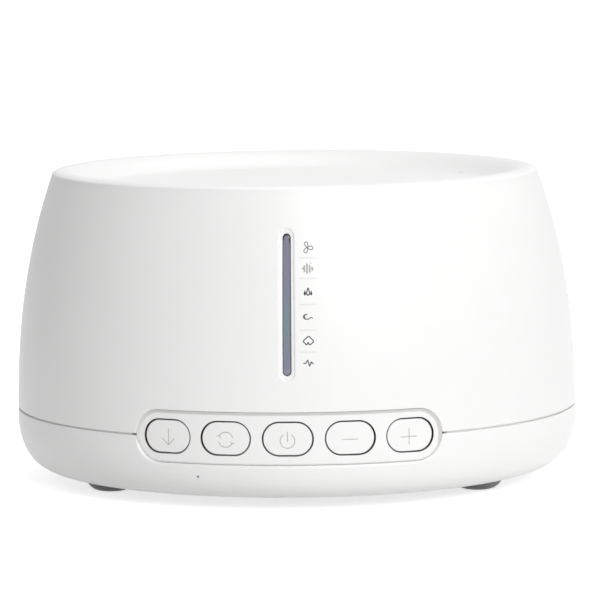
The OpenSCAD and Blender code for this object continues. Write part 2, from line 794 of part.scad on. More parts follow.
module led_board() color(BOARD) lamp_frame() difference() {
    translate([-lamp_board_w / 2, lamp_board_y, -lamp_board_l / 2])
        cube([lamp_board_w, board_t, lamp_board_l]);
    for (s = [-1, 1]) translate([0, 0, s * lamp_screw_z])
        rotate([-90, 0, 0]) cylinder(r = small_r + screw_hole_gap, h = lamp_board_y + board_t + cut);
}

module leds() color([0.9, 0.9, 0.7]) lamp_frame() at_lamps()
    translate([-lamp_w / 2, lamp_board_y - lamp_t, -lamp_l / 2]) cube([lamp_w, lamp_t, lamp_l]);

module led_screws() color(STEEL) lamp_frame() for (s = [-1, 1])
    translate([0, lamp_board_y + board_t, s * lamp_screw_z])
        rotate([-90, 0, 0]) screw(small_r, lamp_board_y + board_t - 2 * root);

// A point of the lamps' leaning frame, as [y, z] of the body
function lamp_point(y, z) = [
    -bar_back_r + y * cos(bar_lean) + z * sin(bar_lean),
    bar_z - y * sin(bar_lean) + z * cos(bar_lean)
];

// Outline of a bent strip of thickness t along flat points
function unit(v) = v / norm(v);
function across(p, i) = let (d = unit(p[min(i + 1, len(p) - 1)] - p[max(i - 1, 0)])) [-d[1], d[0]];
function strip(p, t) = concat(
    [for (i = [0:len(p) - 1]) p[i] + across(p, i) * t / 2],
    [for (i = [len(p) - 1:-1:0]) p[i] - across(p, i) * t / 2]
);

// Short ribbon from the back of the lamp board, over its lower screw, down to the keys' circuit
module led_ribbon() color([0.75, 0.45, 0.15]) {
    back = lamp_board_y + board_t + flex_t / 2;
    screw_z = -lamp_screw_z;
    end_y = -flex_r - flex_t / 2;
    points = [lamp_point(back, screw_z + 6), lamp_point(back, screw_z + 4),
        lamp_point(back + ribbon_lift, screw_z + 1.5), lamp_point(back + ribbon_lift, screw_z - 2.5),
        [end_y - 1.5, carrier_top_z + 1.6], [end_y, carrier_top_z - 0.4], [end_y, carrier_top_z - 2]];
    translate([-led_ribbon_w / 2, 0, 0]) rotate([90, 0, 90]) linear_extrude(led_ribbon_w)
        polygon(strip(points, flex_t));
}

// ---------- main board ----------

module at_main_screws() {
    for (p = MAIN_SCREWS) translate([p[0], p[1], 0]) children();
}

module main_board() color(BOARD) difference() {
    intersection() {
        translate([-main_l / 2, main_y, board_z]) cube([main_l, main_w, board_t]);
        cylinder(r = inside_r(board_z) - 1.2, h = seam_z);
    }
    at_main_screws() cylinder(r = small_r + screw_hole_gap, h = seam_z);
}

module main_board_screws() color(STEEL)
    translate([0, 0, board_top_z]) at_main_screws() screw(small_r, board_t + main_post_h);

module board_chips() color(BLACK) for (c = CHIPS)
    translate([c[0] - c[2] / 2, main_y + c[1] - c[3] / 2, board_top_z]) cube([c[2], c[3], c[4]]);

module capacitors() color(STEEL) for (c = CAPACITORS)
    translate([c[0], main_y + c[1], board_top_z]) {
        cylinder(d = cap_can_d, h = cap_can_h);
        cylinder(d = cap_can_d - 0.9, h = cap_can_h + 0.5);
    }

module inductor() color([0.3, 0.3, 0.32])
    translate([INDUCTOR[0], main_y + INDUCTOR[1], board_top_z]) difference() {
        translate([-inductor_w / 2, -inductor_w / 2, 0]) cube([inductor_w, inductor_w, inductor_h]);
        translate([0, 0, inductor_h - 0.4]) ring(1.8, 2.2, cut);
    }

// Socket of the circuit's tail, and socket of the speaker's wires
module board_sockets() color([0.9, 0.88, 0.8]) {
    difference() {
        rotate([0, 0, tail_end]) translate([-3, -flex_r - 2.2, board_top_z]) cube([6, 4.4, socket_h]);
        sector(tail_end - 0.2, tail_end + 8, tail_z - fit_gap, tail_z + tail_w + fit_gap,
            flex_r - flex_t - fit_gap, flex_r + fit_gap);
    }
    translate([speaker_socket[0], main_y + speaker_socket[1], board_top_z]) difference() {
        translate([-3.5, -2.4, 0]) cube([7, 4.8, 5.4]);
        for (s = [-1, 1]) translate([s * socket_pitch / 2, 0, 2])
            cylinder(d = wire_d + 2 * wire_gap, h = 5);
    }
}

module inlet_body() color(BLACK) difference() {
    union() {
        translate([-inlet_w / 2, inlet_wall_y - inlet_l, board_top_z])
            cube([inlet_w, inlet_l, inlet_body_h]);
        translate([0, inlet_wall_y - 1, inlet_z]) rotate([-90, 0, 0])
            cylinder(d = inlet_nose_d, h = inlet_face_y - fit_gap - inlet_wall_y + 1);
    }
    translate([0, inlet_face_y - inlet_depth, inlet_z]) rotate([-90, 0, 0]) cylinder(d = inlet_d, h = far);
}

module inlet_pin() color(STEEL) translate([0, inlet_face_y - inlet_depth, inlet_z]) rotate([-90, 0, 0]) {
    cylinder(d = inlet_pin_d, h = inlet_depth - 1.6);
    translate([0, 0, inlet_depth - 1.6]) cylinder(d1 = inlet_pin_d, d2 = inlet_pin_d - 0.8, h = 0.4);
}

// ---------- loudspeaker ----------

module speaker_frame() color([0.2, 0.2, 0.22]) difference() {
    window_w = 14;
    ledge_z = spider_z + spider_t;
    throat_r = cone_r + 0.5;
    ledge_r = spider_r - spider_land;
    union() {
        rotate_extrude() polygon([
            [lip_r + 0.1, frame_z], [speaker_r, frame_z], [speaker_r, frame_z + frame_t],
            [lip_r + 2.5, frame_z + frame_t], [throat_r + 1, spider_z - 0.4], [throat_r + 1, plate_z],
            [gap_r + 1.5, plate_z], [gap_r + 1.5, plate_z - frame_t], [throat_r - 0.2, plate_z - frame_t],
            [throat_r - 0.2, ledge_z + frame_t], [ledge_r, ledge_z + frame_t], [ledge_r, ledge_z],
            [throat_r, ledge_z], [throat_r, spider_z - 0.4], [lip_r + 1.3, frame_z + frame_t],
            [lip_r + 0.1, frame_z + frame_t]
        ]);
        at_speaker_screws() translate([0, 0, frame_z]) cylinder(r = speaker_post_r + 0.2, h = frame_t);
    }
    at_speaker_screws() translate([0, 0, frame_z - cut])
        cylinder(r = small_r + screw_hole_gap, h = frame_t + 2 * cut);
    for (a = [0:90:270]) rotate([0, 0, a]) translate([coil_r, -window_w / 2, 0]) {
        translate([0, 0, frame_z + frame_t + 0.4])
            cube([far, window_w, spider_z - frame_z - frame_t - 1.6]);
        translate([0, 0, ledge_z + frame_t + 0.3])
            cube([far, window_w, plate_z - ledge_z - 2 * frame_t - 0.6]);
    }
}

module speaker_gasket() color(BLACK) translate([0, 0, ring_z])
    ring(lip_r + 2.1, speaker_screw_r - speaker_post_r - 0.2, gasket_t);

module speaker_surround() color(BLACK) {
    low = frame_z - surround_t;
    mid = (cone_r + lip_r) / 2;
    out_r = surround_w / 2;
    in_r = out_r - surround_t;
    rotate_extrude() polygon(concat(
        [[cone_r - 1.2, frame_z], [cone_r - 1.2, low]],
        [for (a = [180:15:360]) [mid + out_r * cos(a), low + out_r * sin(a)]],
        [[lip_r + 1.9, low], [lip_r + 1.9, frame_z], [mid + in_r, frame_z]],
        [for (a = [360:-15:180]) [mid + in_r * cos(a), low + in_r * sin(a)]],
        [[mid - in_r, frame_z]]
    ));
}

module speaker_cone() color([0.12, 0.12, 0.13]) rotate_extrude() polygon([
    [cone_r - 1.2, frame_z], [cone_r + 0.1, frame_z], [cone_r + 0.1, frame_z + cone_t],
    [cone_r - 0.9, frame_z + cone_t], [coil_r, neck_z + cone_t + 0.2], [coil_r, neck_z]
]);

module dust_cap() color([0.12, 0.12, 0.13]) {
    edge = coil_r + 0.6;
    edge_z = neck_z - 0.6 * (neck_z - frame_z) / (cone_r - 1.2 - coil_r) - 0.08;
    dome = 3;
    rs = evenly(0, edge, 8);
    rotate_extrude() polygon(concat(
        [for (r = rs) [r, edge_z - 0.4 - dome * (1 - pow(r / edge, 2))]],
        backwards([for (r = rs) [r, edge_z - dome * (1 - pow(r / edge, 2))]])
    ));
}

module coil_former() color([0.75, 0.65, 0.4]) {
    low = neck_z - 0.4;
    translate([0, 0, low]) ring(coil_r - former_t, coil_r, coil_mid_z + coil_l / 2 + 0.3 - low);
}

module voice_coil() color([0.7, 0.35, 0.15])
    translate([0, 0, coil_mid_z - coil_l / 2]) ring(coil_r, coil_r + winding_t, coil_l);

module spider() color([0.8, 0.6, 0.3]) {
    waves = 3;
    rs = evenly(coil_r + 0.6, spider_r - spider_land - fit_gap, waves * 8);
    wave = [for (i = [0:len(rs) - 1]) [rs[i], spider_z - spider_wave * sin(360 * i / 8)]];
    rotate_extrude() polygon(concat(
        [[coil_r, spider_z]], wave, [[spider_r, spider_z], [spider_r, spider_z + spider_t]],
        backwards([for (p = wave) [p[0], p[1] + spider_t]]), [[coil_r, spider_z + spider_t]]
    ));
}

module top_plate() color(STEEL) translate([0, 0, plate_z]) ring(gap_r, magnet_r - 2.5, plate_t);

module magnet() color([0.2, 0.2, 0.2]) translate([0, 0, magnet_z]) ring(gap_r + 1.5, magnet_r, magnet_h);

module yoke() color(STEEL) {
    translate([0, 0, yoke_z]) cylinder(r = magnet_r - 2.5, h = plate_t);
    translate([0, 0, plate_z]) cylinder(r = pole_r, h = yoke_z - plate_z + 0.5);
}

// Terminal strip on the frame's flange, with two lugs
module speaker_terminals() color([0.6, 0.45, 0.25]) {
    translate([-terminal_w / 2, terminal_y - terminal_t / 2, terminal_z])
        cube([terminal_w, terminal_t, terminal_h]);
    for (x = LUGS) translate([x - lug_w / 2, terminal_y + terminal_t / 2, terminal_z + lug_h])
        cube([lug_w, lug_l, lug_t]);
}

// A point of a curve from a to d that leaves towards b and arrives from c
function curve(a, b, c, d, t) =
    a * pow(1 - t, 3) + 3 * b * t * pow(1 - t, 2) + 3 * c * t * t * (1 - t) + d * pow(t, 3);

// A round tube swept along points that never run along x
module wire(points, d, sides = 8) {
    last = len(points) - 1;
    rings = [for (i = [0:last]) let (
        along = unit(points[min(i + 1, last)] - points[max(i - 1, 0)]),
        u = unit(cross(along, [1, 0, 0])),
        v = cross(along, u)
    ) [for (k = [0:sides - 1]) points[i] + d / 2 * (u * cos(360 * k / sides) + v * sin(360 * k / sides))]];
    polyhedron(
        points = [for (r = rings) each r],
        faces = concat(
            [[for (k = [0:sides - 1]) k]],
            [for (i = [0:last - 1], k = [0:sides - 1])
                let (a = i * sides + k, b = i * sides + (k + 1) % sides)
                    each [[a, a + sides, b + sides], [a, b + sides, b]]],
            [[for (k = [sides - 1:-1:0]) last * sides + k]]
        )
    );
}

module speaker_wires() color([0.7, 0.1, 0.1]) for (i = [0, 1]) {
    lug = [LUGS[i], terminal_y + lug_l, terminal_z + lug_h + lug_t + fit_gap];
    entry = [speaker_socket[0] + (i - 0.5) * socket_pitch, main_y + speaker_socket[1], board_top_z + 2.2];
    wire([for (k = [0:WIRE_STEPS])
        curve(lug, lug + [0, 1, 10], entry + [0, 0, 14], entry, k / WIRE_STEPS)], wire_d);
}

module speaker_screws() color(STEEL)
    translate([0, 0, frame_z + frame_t]) at_speaker_screws() screw(small_r, frame_t + speaker_ring_h);

module dust_mesh() color([0.15, 0.15, 0.15]) translate([0, 0, floor_z])
    cylinder(r = lip_r + 0.6, h = mesh_t);

// ---------- feet and housing screws ----------

module foot(k) color(RUBBER) translate([FEET[k][0] * foot_x, FEET[k][1] * foot_y, 0]) {
    cylinder(d1 = foot_d, d2 = foot_top_d, h = foot_h);
    translate([0, 0, foot_h]) cylinder(d = foot_top_d, h = foot_pocket - plunger_gap);
}

module foot_front_left() foot(0);
module foot_front_right() foot(1);
module foot_rear_left() foot(2);
module foot_rear_right() foot(3);

module housing_screws() color(STEEL)
    at_feet() translate([0, 0, head_seat_z]) rotate([180, 0, 0])
        screw(screw_r, boss_top_z - head_seat_z + screw_bite);

upper_housing();
lower_housing();
button_arrow();
button_loop();
button_power();
button_minus();
button_plus();
plunger_arrow();
plunger_loop();
plunger_power();
plunger_minus();
plunger_plus();
switch_bodies();
key_flex();
key_carrier();
key_carrier_screws();
microphone();
microphone_boot();
light_bar();
light_baffle();
led_board();
leds();
led_ribbon();
led_screws();
main_board();
board_chips();
capacitors();
inductor();
board_sockets();
main_board_screws();
inlet_body();
inlet_pin();
speaker_frame();
speaker_gasket();
speaker_surround();
speaker_cone();
dust_cap();
coil_former();
voice_coil();
spider();
top_plate();
magnet();
yoke();
speaker_terminals();
speaker_wires();
speaker_screws();
dust_mesh();
foot_front_left();
foot_front_right();
foot_rear_left();
foot_rear_right();
housing_screws();
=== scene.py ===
# %% [markdown]
# # A white noise sound machine
# A round tabletop speaker in satin white plastic. An upper shell with a dished top stands on a bowl, and
# the bowl carries a curved panel with five keys. This notebook builds every visible surface as a
# function of two parameters, worked out with numpy, and then lights it in a plain white studio.

# %% The frame, and millimetres
import json
import math

import bmesh
import bpy
import numpy as np
from mathutils import Matrix, Vector
from mathutils.geometry import delaunay_2d_cdt

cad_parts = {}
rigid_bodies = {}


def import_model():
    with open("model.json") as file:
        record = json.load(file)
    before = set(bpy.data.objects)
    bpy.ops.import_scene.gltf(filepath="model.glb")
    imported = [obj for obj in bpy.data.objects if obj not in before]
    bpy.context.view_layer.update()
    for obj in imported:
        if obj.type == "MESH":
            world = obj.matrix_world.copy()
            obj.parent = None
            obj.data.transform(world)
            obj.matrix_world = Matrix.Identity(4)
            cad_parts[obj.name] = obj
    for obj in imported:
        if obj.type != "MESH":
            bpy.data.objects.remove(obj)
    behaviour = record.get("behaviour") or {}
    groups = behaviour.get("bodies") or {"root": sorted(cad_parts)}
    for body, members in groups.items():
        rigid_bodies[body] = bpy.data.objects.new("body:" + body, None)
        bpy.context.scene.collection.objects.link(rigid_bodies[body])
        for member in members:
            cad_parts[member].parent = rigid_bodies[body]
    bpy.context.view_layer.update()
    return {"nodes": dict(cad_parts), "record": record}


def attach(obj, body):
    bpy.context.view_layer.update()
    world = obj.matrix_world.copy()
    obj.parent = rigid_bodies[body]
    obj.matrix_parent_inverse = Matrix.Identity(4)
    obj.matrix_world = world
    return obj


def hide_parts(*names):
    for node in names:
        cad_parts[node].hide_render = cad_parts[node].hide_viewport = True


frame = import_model()
MM = 0.001
print("nodes in the frame:", len(frame["nodes"]))

# %% [markdown]
# ## The camera
# The machine is seen from a metre away, a little from above and a little from the right of its front.
# A long lens keeps the round body from bulging. The camera comes first, because everything else is
# judged through it.

# %% Camera
view_side = math.radians(1.878)
view_up = math.radians(6.279)
view_roll = math.radians(-0.552)
view_distance = 1085.75
view_centre = np.array([0.0, 0.0, 41.0])
lens_mm = 259.3
towards = np.array([
    math.sin(view_side) * math.cos(view_up),
    -math.cos(view_side) * math.cos(view_up),
    math.sin(view_up),
])
camera_data = bpy.data.cameras.new("camera")
camera_data.lens = lens_mm
camera_data.sensor_width = 36
camera_data.shift_x = 0.0065
camera_data.shift_y = 0.0198
camera_data.clip_start = 0.05
camera_data.clip_end = 20
camera = bpy.data.objects.new("camera", camera_data)
bpy.context.scene.collection.objects.link(camera)
camera.location = Vector((view_centre + view_distance * towards) * MM)
turn = Vector(-towards).to_track_quat("-Z", "Y").to_matrix().to_4x4()
camera.rotation_euler = turn.to_euler()
camera.rotation_euler.rotate_axis("Z", view_roll)
bpy.context.scene.camera = camera
print("camera at", tuple(round(c, 3) for c in camera.location), "m")

# %% [markdown]
# ## The outline of the body
# Seen from the side, the wall leans in slowly towards the top and turns quickly into the flat base. Two
# formulas hold the whole outline: a power curve above the widest level and a squared-off quarter
# ellipse below it.

# %% Driving sizes, in millimetres
body_r = 70.0
base_r = 56.7
rim_r = 60.3
crest_r = 57.9
dish_r = 46.0
base_z = 3.0
floor_z = 5.4
widest_z = 15.4
seam_z = 18.4
crest_z = 77.6
rim_h = 1.1
dish_z = 73.6
wall = 2.4
wall_power = 2.33
bowl_m = 1.9
bowl_n = 3.2
half_turn = math.pi * body_r


def shell_r(z):
    """Radius at a level: above the widest level the lean grows with a power of the height; below it
    the radius follows a superellipse down to the edge of the base."""
    z = np.asarray(z, float)
    up = np.clip((z - widest_z) / (crest_z - widest_z), 0, None)
    down = np.clip((widest_z - z) / (widest_z - base_z), 0, 1)
    upper = body_r - (body_r - rim_r) * up ** wall_power
    lower = base_r + (body_r - base_r) * (1 - down ** bowl_m) ** (1 / bowl_n)
    return np.where(z >= widest_z, upper, lower)


def bowl_in_r(z):
    """Radius of the bowl's inside: the outer curve, set in by the wall and started at the floor."""
    down = np.clip((widest_z - z) / (widest_z - floor_z), 0, 1)
    lower = base_r - wall + (body_r - base_r) * (1 - down ** bowl_m) ** (1 / bowl_n)
    return np.where(z >= widest_z, shell_r(z) - wall, lower)


def dish_top(r):
    """Height of the top at a radius: half a cosine wave from the flat middle up to the crest."""
    rise = (crest_z - dish_z) * (1 + np.cos(math.pi * (crest_r - r) / (crest_r - dish_r))) / 2
    return dish_z + np.where(r > dish_r, rise, 0)


def around(x, r, z):
    """Points at a radius and a level, x millimetres round the body from the middle of the front."""
    x, r, z = np.broadcast_arrays(x, r, z)
    angle = x / body_r
    return np.stack([r * np.sin(angle), -r * np.cos(angle), z], -1)


def on_skin(x, z, depth):
    """Points under the body's surface: x round the front, z up, depth inwards."""
    return around(x, shell_r(z) - depth, z)


print("radius at the seam:", round(float(shell_r(seam_z)), 2), "mm")

# %% [markdown]
# ## From arrays to meshes
# A sheet is an array of points in rows and columns. Neighbouring points make the quads. Several sheets
# are welded along their shared edges into one closed piece, and an edge is left sharp only where the
# surface really turns. The normals are worked out again after the weld, so that they point outwards.

# %% Sheets, and welding them
weld_distance = 2e-6
sharp_angle = math.radians(38)


def grid(points, wrap=False, skip=None):
    """Quads between the rows and columns of an array (rows, columns, 3). skip marks quads to leave out."""
    rows, cols = points.shape[:2]
    i, j = np.mgrid[0:rows - 1, 0:cols if wrap else cols - 1]
    beside = (j + 1) % cols
    quads = np.stack([i * cols + j, i * cols + beside, (i + 1) * cols + beside, (i + 1) * cols + j], -1)
    if skip is not None:
        quads = quads[~skip]
    return points.reshape(-1, 3), quads.reshape(-1, 4)


def build(name, sheets):
    """One mesh object from sheets of points and faces in millimetres, welded where they meet."""
    verts, faces, start = [], [], 0
    for points, quads in sheets:
        verts.append(points * MM)
        faces += (quads + start).tolist()
        start += len(points)
    mesh = bpy.data.meshes.new(name)
    mesh.from_pydata(np.concatenate(verts).tolist(), [], faces)
    bm = bmesh.new()
    bm.from_mesh(mesh)
    bmesh.ops.remove_doubles(bm, verts=bm.verts, dist=weld_distance)
    bmesh.ops.dissolve_degenerate(bm, edges=bm.edges, dist=weld_distance / 4)
    bmesh.ops.recalc_face_normals(bm, faces=bm.faces)
    bm.to_mesh(mesh)
    bm.free()
    mesh.shade_smooth()
    mesh.set_sharp_from_angle(angle=sharp_angle)
    piece = bpy.data.objects.new(name, mesh)
    bpy.context.scene.collection.objects.link(piece)
    return piece


def fit(piece, body, nodes, material):
    """Gives a piece its material, hangs it on the body that it rides on and hides the solids that it stands
    for.
    """
    piece.data.materials.append(material)
    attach(piece, body)
    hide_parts(*nodes)
    print(piece.name, len(piece.data.polygons), "faces")


print("corners closer than", weld_distance / MM, "mm are welded")

# %% [markdown]
# ## Materials
# Nearly everything that shows is one satin white plastic. Moulded plastic is never quite plain: the
# mould's fine texture breaks up the highlights, and the gloss varies a little from place to place. One
# node group makes that, and each material sets its own strength. The noise reads Object coordinates,
# so it stays on the piece.

# %% The moulded surface, as a node group
cloud_scale, streak_scale = 38, 160


def feed(links, value, socket):
    """Gives a socket a plain number, or links it to another node's output."""
    if isinstance(value, (int, float)):
        socket.default_value = value
    else:
        links.new(value, socket)


def maths_in(nodes, links):
    """A short way to write sums in a node tree: maths(kind, a, b) adds a Math node and gives its output."""
    def maths(kind, a, b=0.0):
        n = nodes.new("ShaderNodeMath")
        n.operation = kind
        feed(links, a, n.inputs[0])
        feed(links, b, n.inputs[1])
        return n.outputs[0]
    return maths


def moulded_group():
    """Colour with faint mottling, roughness with faint variation, and the height of the mould's grain."""
    group = bpy.data.node_groups.new("moulded_surface", "ShaderNodeTree")
    face = group.interface
    face.new_socket("Colour", in_out="INPUT", socket_type="NodeSocketColor")
    for label, value in (("Mottle", 0.02), ("Roughness", 0.4), ("Gloss change", 0.06), ("Grain size", 0.2)):
        face.new_socket(label, in_out="INPUT", socket_type="NodeSocketFloat").default_value = value
    face.new_socket("Stretch", in_out="INPUT", socket_type="NodeSocketVector").default_value = (1, 1, 1)
    face.new_socket("Colour", in_out="OUTPUT", socket_type="NodeSocketColor")
    face.new_socket("Roughness", in_out="OUTPUT", socket_type="NodeSocketFloat")
    face.new_socket("Height", in_out="OUTPUT", socket_type="NodeSocketFloat")
    nodes, links = group.nodes, group.links
    into, out = nodes.new("NodeGroupInput"), nodes.new("NodeGroupOutput")
    place = nodes.new("ShaderNodeTexCoord")
    stretched = nodes.new("ShaderNodeVectorMath")
    stretched.operation = "MULTIPLY"
    links.new(place.outputs["Object"], stretched.inputs[0])
    links.new(into.outputs["Stretch"], stretched.inputs[1])

    def noise(scale, detail):
        n = nodes.new("ShaderNodeTexNoise")
        n.inputs["Detail"].default_value = detail
        links.new(stretched.outputs[0], n.inputs["Vector"])
        feed(links, scale, n.inputs["Scale"])
        return n.outputs["Fac"]

    maths = maths_in(nodes, links)
    cloud = maths("SUBTRACT", noise(cloud_scale, 3), 0.5)
    streak = maths("SUBTRACT", noise(streak_scale, 2), 0.5)
    shade = maths("ADD", 1.0, maths("MULTIPLY", maths("ADD", cloud, streak), into.outputs["Mottle"]))
    tint = nodes.new("ShaderNodeMix")
    tint.data_type = "RGBA"
    tint.blend_type = "MULTIPLY"
    tint.inputs["Factor"].default_value = 1
    links.new(into.outputs["Colour"], tint.inputs["A"])
    links.new(shade, tint.inputs["B"])
    links.new(tint.outputs["Result"], out.inputs["Colour"])
    change = maths("MULTIPLY", maths("ADD", cloud, streak), into.outputs["Gloss change"])
    links.new(maths("ADD", into.outputs["Roughness"], change), out.inputs["Roughness"])
    grains_per_metre = maths("DIVIDE", 1 / MM, into.outputs["Grain size"])
    links.new(noise(grains_per_metre, 2), out.inputs["Height"])
    return group


moulded = moulded_group()
print("group:", moulded.name, len(moulded.nodes), "nodes")

# %% [markdown]
# ## Plastics from the group
# Each material has its own Principled shader, and the group feeds its colour, roughness and bump. A
# stain or a painted shade darkens the colour where a number kept on the mesh is high: painted shade in the
# gaps round the keys, in the grooves of their signs and round the light bar's edge, and ink where it is
# printed. A pattern is a second group laid over the first.

# %% One function for every finish
def mix_in_stain_or_shade(nodes, links, colour, attribute, stain_or_shade):
    """Mixes a colour towards a stain or a painted shade where a mesh attribute is high."""
    where = nodes.new("ShaderNodeAttribute")
    where.attribute_name = attribute
    mix = nodes.new("ShaderNodeMix")
    mix.data_type = "RGBA"
    mix.inputs["B"].default_value = (*stain_or_shade, 1)
    links.new(where.outputs["Fac"], mix.inputs["Factor"])
    links.new(colour, mix.inputs["A"])
    return mix.outputs["Result"]


def plastic(name, colour, roughness, mottle=0.02, gloss_change=0.06, grain=0.25, depth=0.004,
            stretch=(1, 1, 1), stains_and_painted_shades=(), pattern=None, **fixed):
    """A moulded material. grain and depth are the size and height of the mould's texture in millimetres,
    and stretch makes the noise finer along an axis. stains are pairs (attribute, colour), pattern is
    (group, values), and fixed sets other sockets."""
    mat = bpy.data.materials.new(name)
    mat.use_nodes = True
    nodes, links = mat.node_tree.nodes, mat.node_tree.links
    shader = nodes["Principled BSDF"]
    surface = nodes.new("ShaderNodeGroup")
    surface.node_tree = moulded
    surface.inputs["Colour"].default_value = (*colour, 1)
    surface.inputs["Mottle"].default_value = mottle
    surface.inputs["Roughness"].default_value = roughness
    surface.inputs["Gloss change"].default_value = gloss_change
    surface.inputs["Grain size"].default_value = grain
    surface.inputs["Stretch"].default_value = stretch
    bump = nodes.new("ShaderNodeBump")
    bump.inputs["Strength"].default_value = 1
    bump.inputs["Distance"].default_value = depth * MM
    shown, height = surface.outputs["Colour"], surface.outputs["Height"]
    # Each pair is real ink or tint, or painted shade in gaps, grooves and edges.
    for attribute, stain_or_shade in stains_and_painted_shades:
        shown = mix_in_stain_or_shade(nodes, links, shown, attribute, stain_or_shade)
    if pattern is not None:
        group, values = pattern
        over = nodes.new("ShaderNodeGroup")
        over.node_tree = group
        for label, value in values.items():
            over.inputs[label].default_value = value
        links.new(shown, over.inputs["Colour"])
        shown, height = over.outputs["Colour"], over.outputs["Height"]
    links.new(shown, shader.inputs["Base Color"])
    links.new(surface.outputs["Roughness"], shader.inputs["Roughness"])
    links.new(height, bump.inputs["Height"])
    links.new(bump.outputs["Normal"], shader.inputs["Normal"])
    for label, value in fixed.items():
        shader.inputs[label.replace("_", " ")].default_value = value
    return mat


print("the group gives:", [out.name for out in moulded.nodes["Group Output"].inputs if out.name])

# %% [markdown]
# ## Finishes outside
# The housings, the panel and the caps are one white plastic, and differ only in gloss and in the painted
# shade that the panel and the caps take in gaps and grooves. The feet are grey rubber, whose noise is
# finer upwards than sideways, and the light bar's window is a smooth slate-grey plastic with a strong
# gloss.

# %% Finishes outside
WHITE = (0.86, 0.86, 0.855)
# Painted shade: dark brown for the gaps round the keys and for the panel's slope.
PAINTED_SHADE_BROWN = (0.06, 0.014, 0.016)
# Painted shade: grey for the grooves of the keys' signs.
PAINTED_GROOVE_GREY = (0.4, 0.4, 0.39)
INK = (0.03, 0.03, 0.032)
SLATE = (0.17, 0.18, 0.26)
TEAL = (0.15, 0.21, 0.255)
# Painted shade: black for the dark line round the light bar's edge.
PAINTED_EDGE_BLACK = (0.012, 0.012, 0.018)
white_shell = plastic("white_shell", WHITE, 0.42)
# The panel and the caps take painted shade in the gaps round the keys, and the caps a painted grey in the
# grooves of their signs.
white_panel = plastic("white_panel", WHITE, 0.42, stains_and_painted_shades=[("painted_shade", PAINTED_SHADE_BROWN)])
white_cap = plastic("white_cap", WHITE, 0.38, stains_and_painted_shades=[("painted_shade", PAINTED_SHADE_BROWN), ("groove", PAINTED_GROOVE_GREY)])
sign_ink = plastic("sign_ink", WHITE, 0.45, stains_and_painted_shades=[("ink", INK)])
grey_rubber = plastic("grey_rubber", (0.3, 0.3, 0.3), 0.5, 0.3, 0.1, 0.4, 0.02, (1, 1, 5))
# The window's dark edge line is painted shade.
slate_window = plastic("slate_window", SLATE, 0.07, 0.01, 0.02, 0.5, 0.0,
                       stains_and_painted_shades=[("teal", TEAL), ("edge", PAINTED_EDGE_BLACK)], Specular_IOR_Level=0.9)
print("materials so far:", len(bpy.data.materials))

# %% [markdown]
# ## Threads and tracks
# Boards, films and cloth are known by their patterns more than by their colours. Two more groups make
# them: crossed threads for cloth and mesh, and fine copper tracks for the circuits. Both start from two
# waves across the piece, whose pitch is an input.

# %% Threads and tracks, as node groups
area_scale = 90
track_half, track_strength = 0.35, 0.8


def pattern_group(name, second, paint):
    """A group that lays a pattern over a colour. x and y are the sizes of two sine waves, from 0 to 1, and
    paint(maths, x, y, area) gives the mask of the second colour and the height. area() adds a slow noise."""
    group = bpy.data.node_groups.new(name, "ShaderNodeTree")
    face = group.interface
    face.new_socket("Colour", in_out="INPUT", socket_type="NodeSocketColor")
    face.new_socket(second, in_out="INPUT", socket_type="NodeSocketColor")
    face.new_socket("Pitch", in_out="INPUT", socket_type="NodeSocketFloat").default_value = 1
    face.new_socket("Colour", in_out="OUTPUT", socket_type="NodeSocketColor")
    face.new_socket("Height", in_out="OUTPUT", socket_type="NodeSocketFloat")
    nodes, links = group.nodes, group.links
    into, out = nodes.new("NodeGroupInput"), nodes.new("NodeGroupOutput")
    place, split = nodes.new("ShaderNodeTexCoord"), nodes.new("ShaderNodeSeparateXYZ")
    links.new(place.outputs["Object"], split.inputs[0])
    maths = maths_in(nodes, links)
    turn = maths("DIVIDE", math.pi / MM, into.outputs["Pitch"])
    x, y = (maths("SINE", maths("MULTIPLY", split.outputs[i], turn)) for i in (0, 1))

    def area():
        noise = nodes.new("ShaderNodeTexNoise")
        noise.inputs["Scale"].default_value = area_scale
        links.new(place.outputs["Object"], noise.inputs["Vector"])
        return noise.outputs["Fac"]

    mask, height = paint(maths, maths("ABSOLUTE", x), maths("ABSOLUTE", y), area)
    mix = nodes.new("ShaderNodeMix")
    mix.data_type = "RGBA"
    links.new(mask, mix.inputs["Factor"])
    links.new(into.outputs["Colour"], mix.inputs["A"])
    links.new(into.outputs[second], mix.inputs["B"])
    links.new(mix.outputs["Result"], out.inputs["Colour"])
    links.new(height, out.inputs["Height"])
    return group


def threads(maths, x, y, _):
    """Crossed round threads: the height is the larger of 1 - x squared and 1 - y squared, and the low
    places between the threads get a painted shade."""
    one_way = maths("SUBTRACT", 1.0, maths("MULTIPLY", x, x))
    other_way = maths("SUBTRACT", 1.0, maths("MULTIPLY", y, y))
    height = maths("MAXIMUM", one_way, other_way)
    return maths("SUBTRACT", 1.0, height), height


def tracks(maths, x, y, area):
    """Copper tracks: thin lines along one axis where a slow noise is high, and along the other elsewhere."""
    high = maths("GREATER_THAN", area(), 0.5)
    along, across = maths("LESS_THAN", x, track_half), maths("LESS_THAN", y, track_half)
    elsewhere = maths("MULTIPLY", across, maths("SUBTRACT", 1.0, high))
    mask = maths("ADD", maths("MULTIPLY", along, high), elsewhere)
    return maths("MULTIPLY", mask, track_strength), mask


woven = pattern_group("woven_threads", "Gap colour", threads)
tracked = pattern_group("copper_tracks", "Track colour", tracks)

print("groups:", [group.name for group in bpy.data.node_groups])

# %% [markdown]
# ## Finishes of the pieces inside
# The pieces inside keep the shape of their solids, and each gets the finish of the real thing. Metals
# use the moulded group with its noise made finer along some axes, as brushing, drawing or winding leaves
# it. The finishes stand in one table, because they differ only in their values.

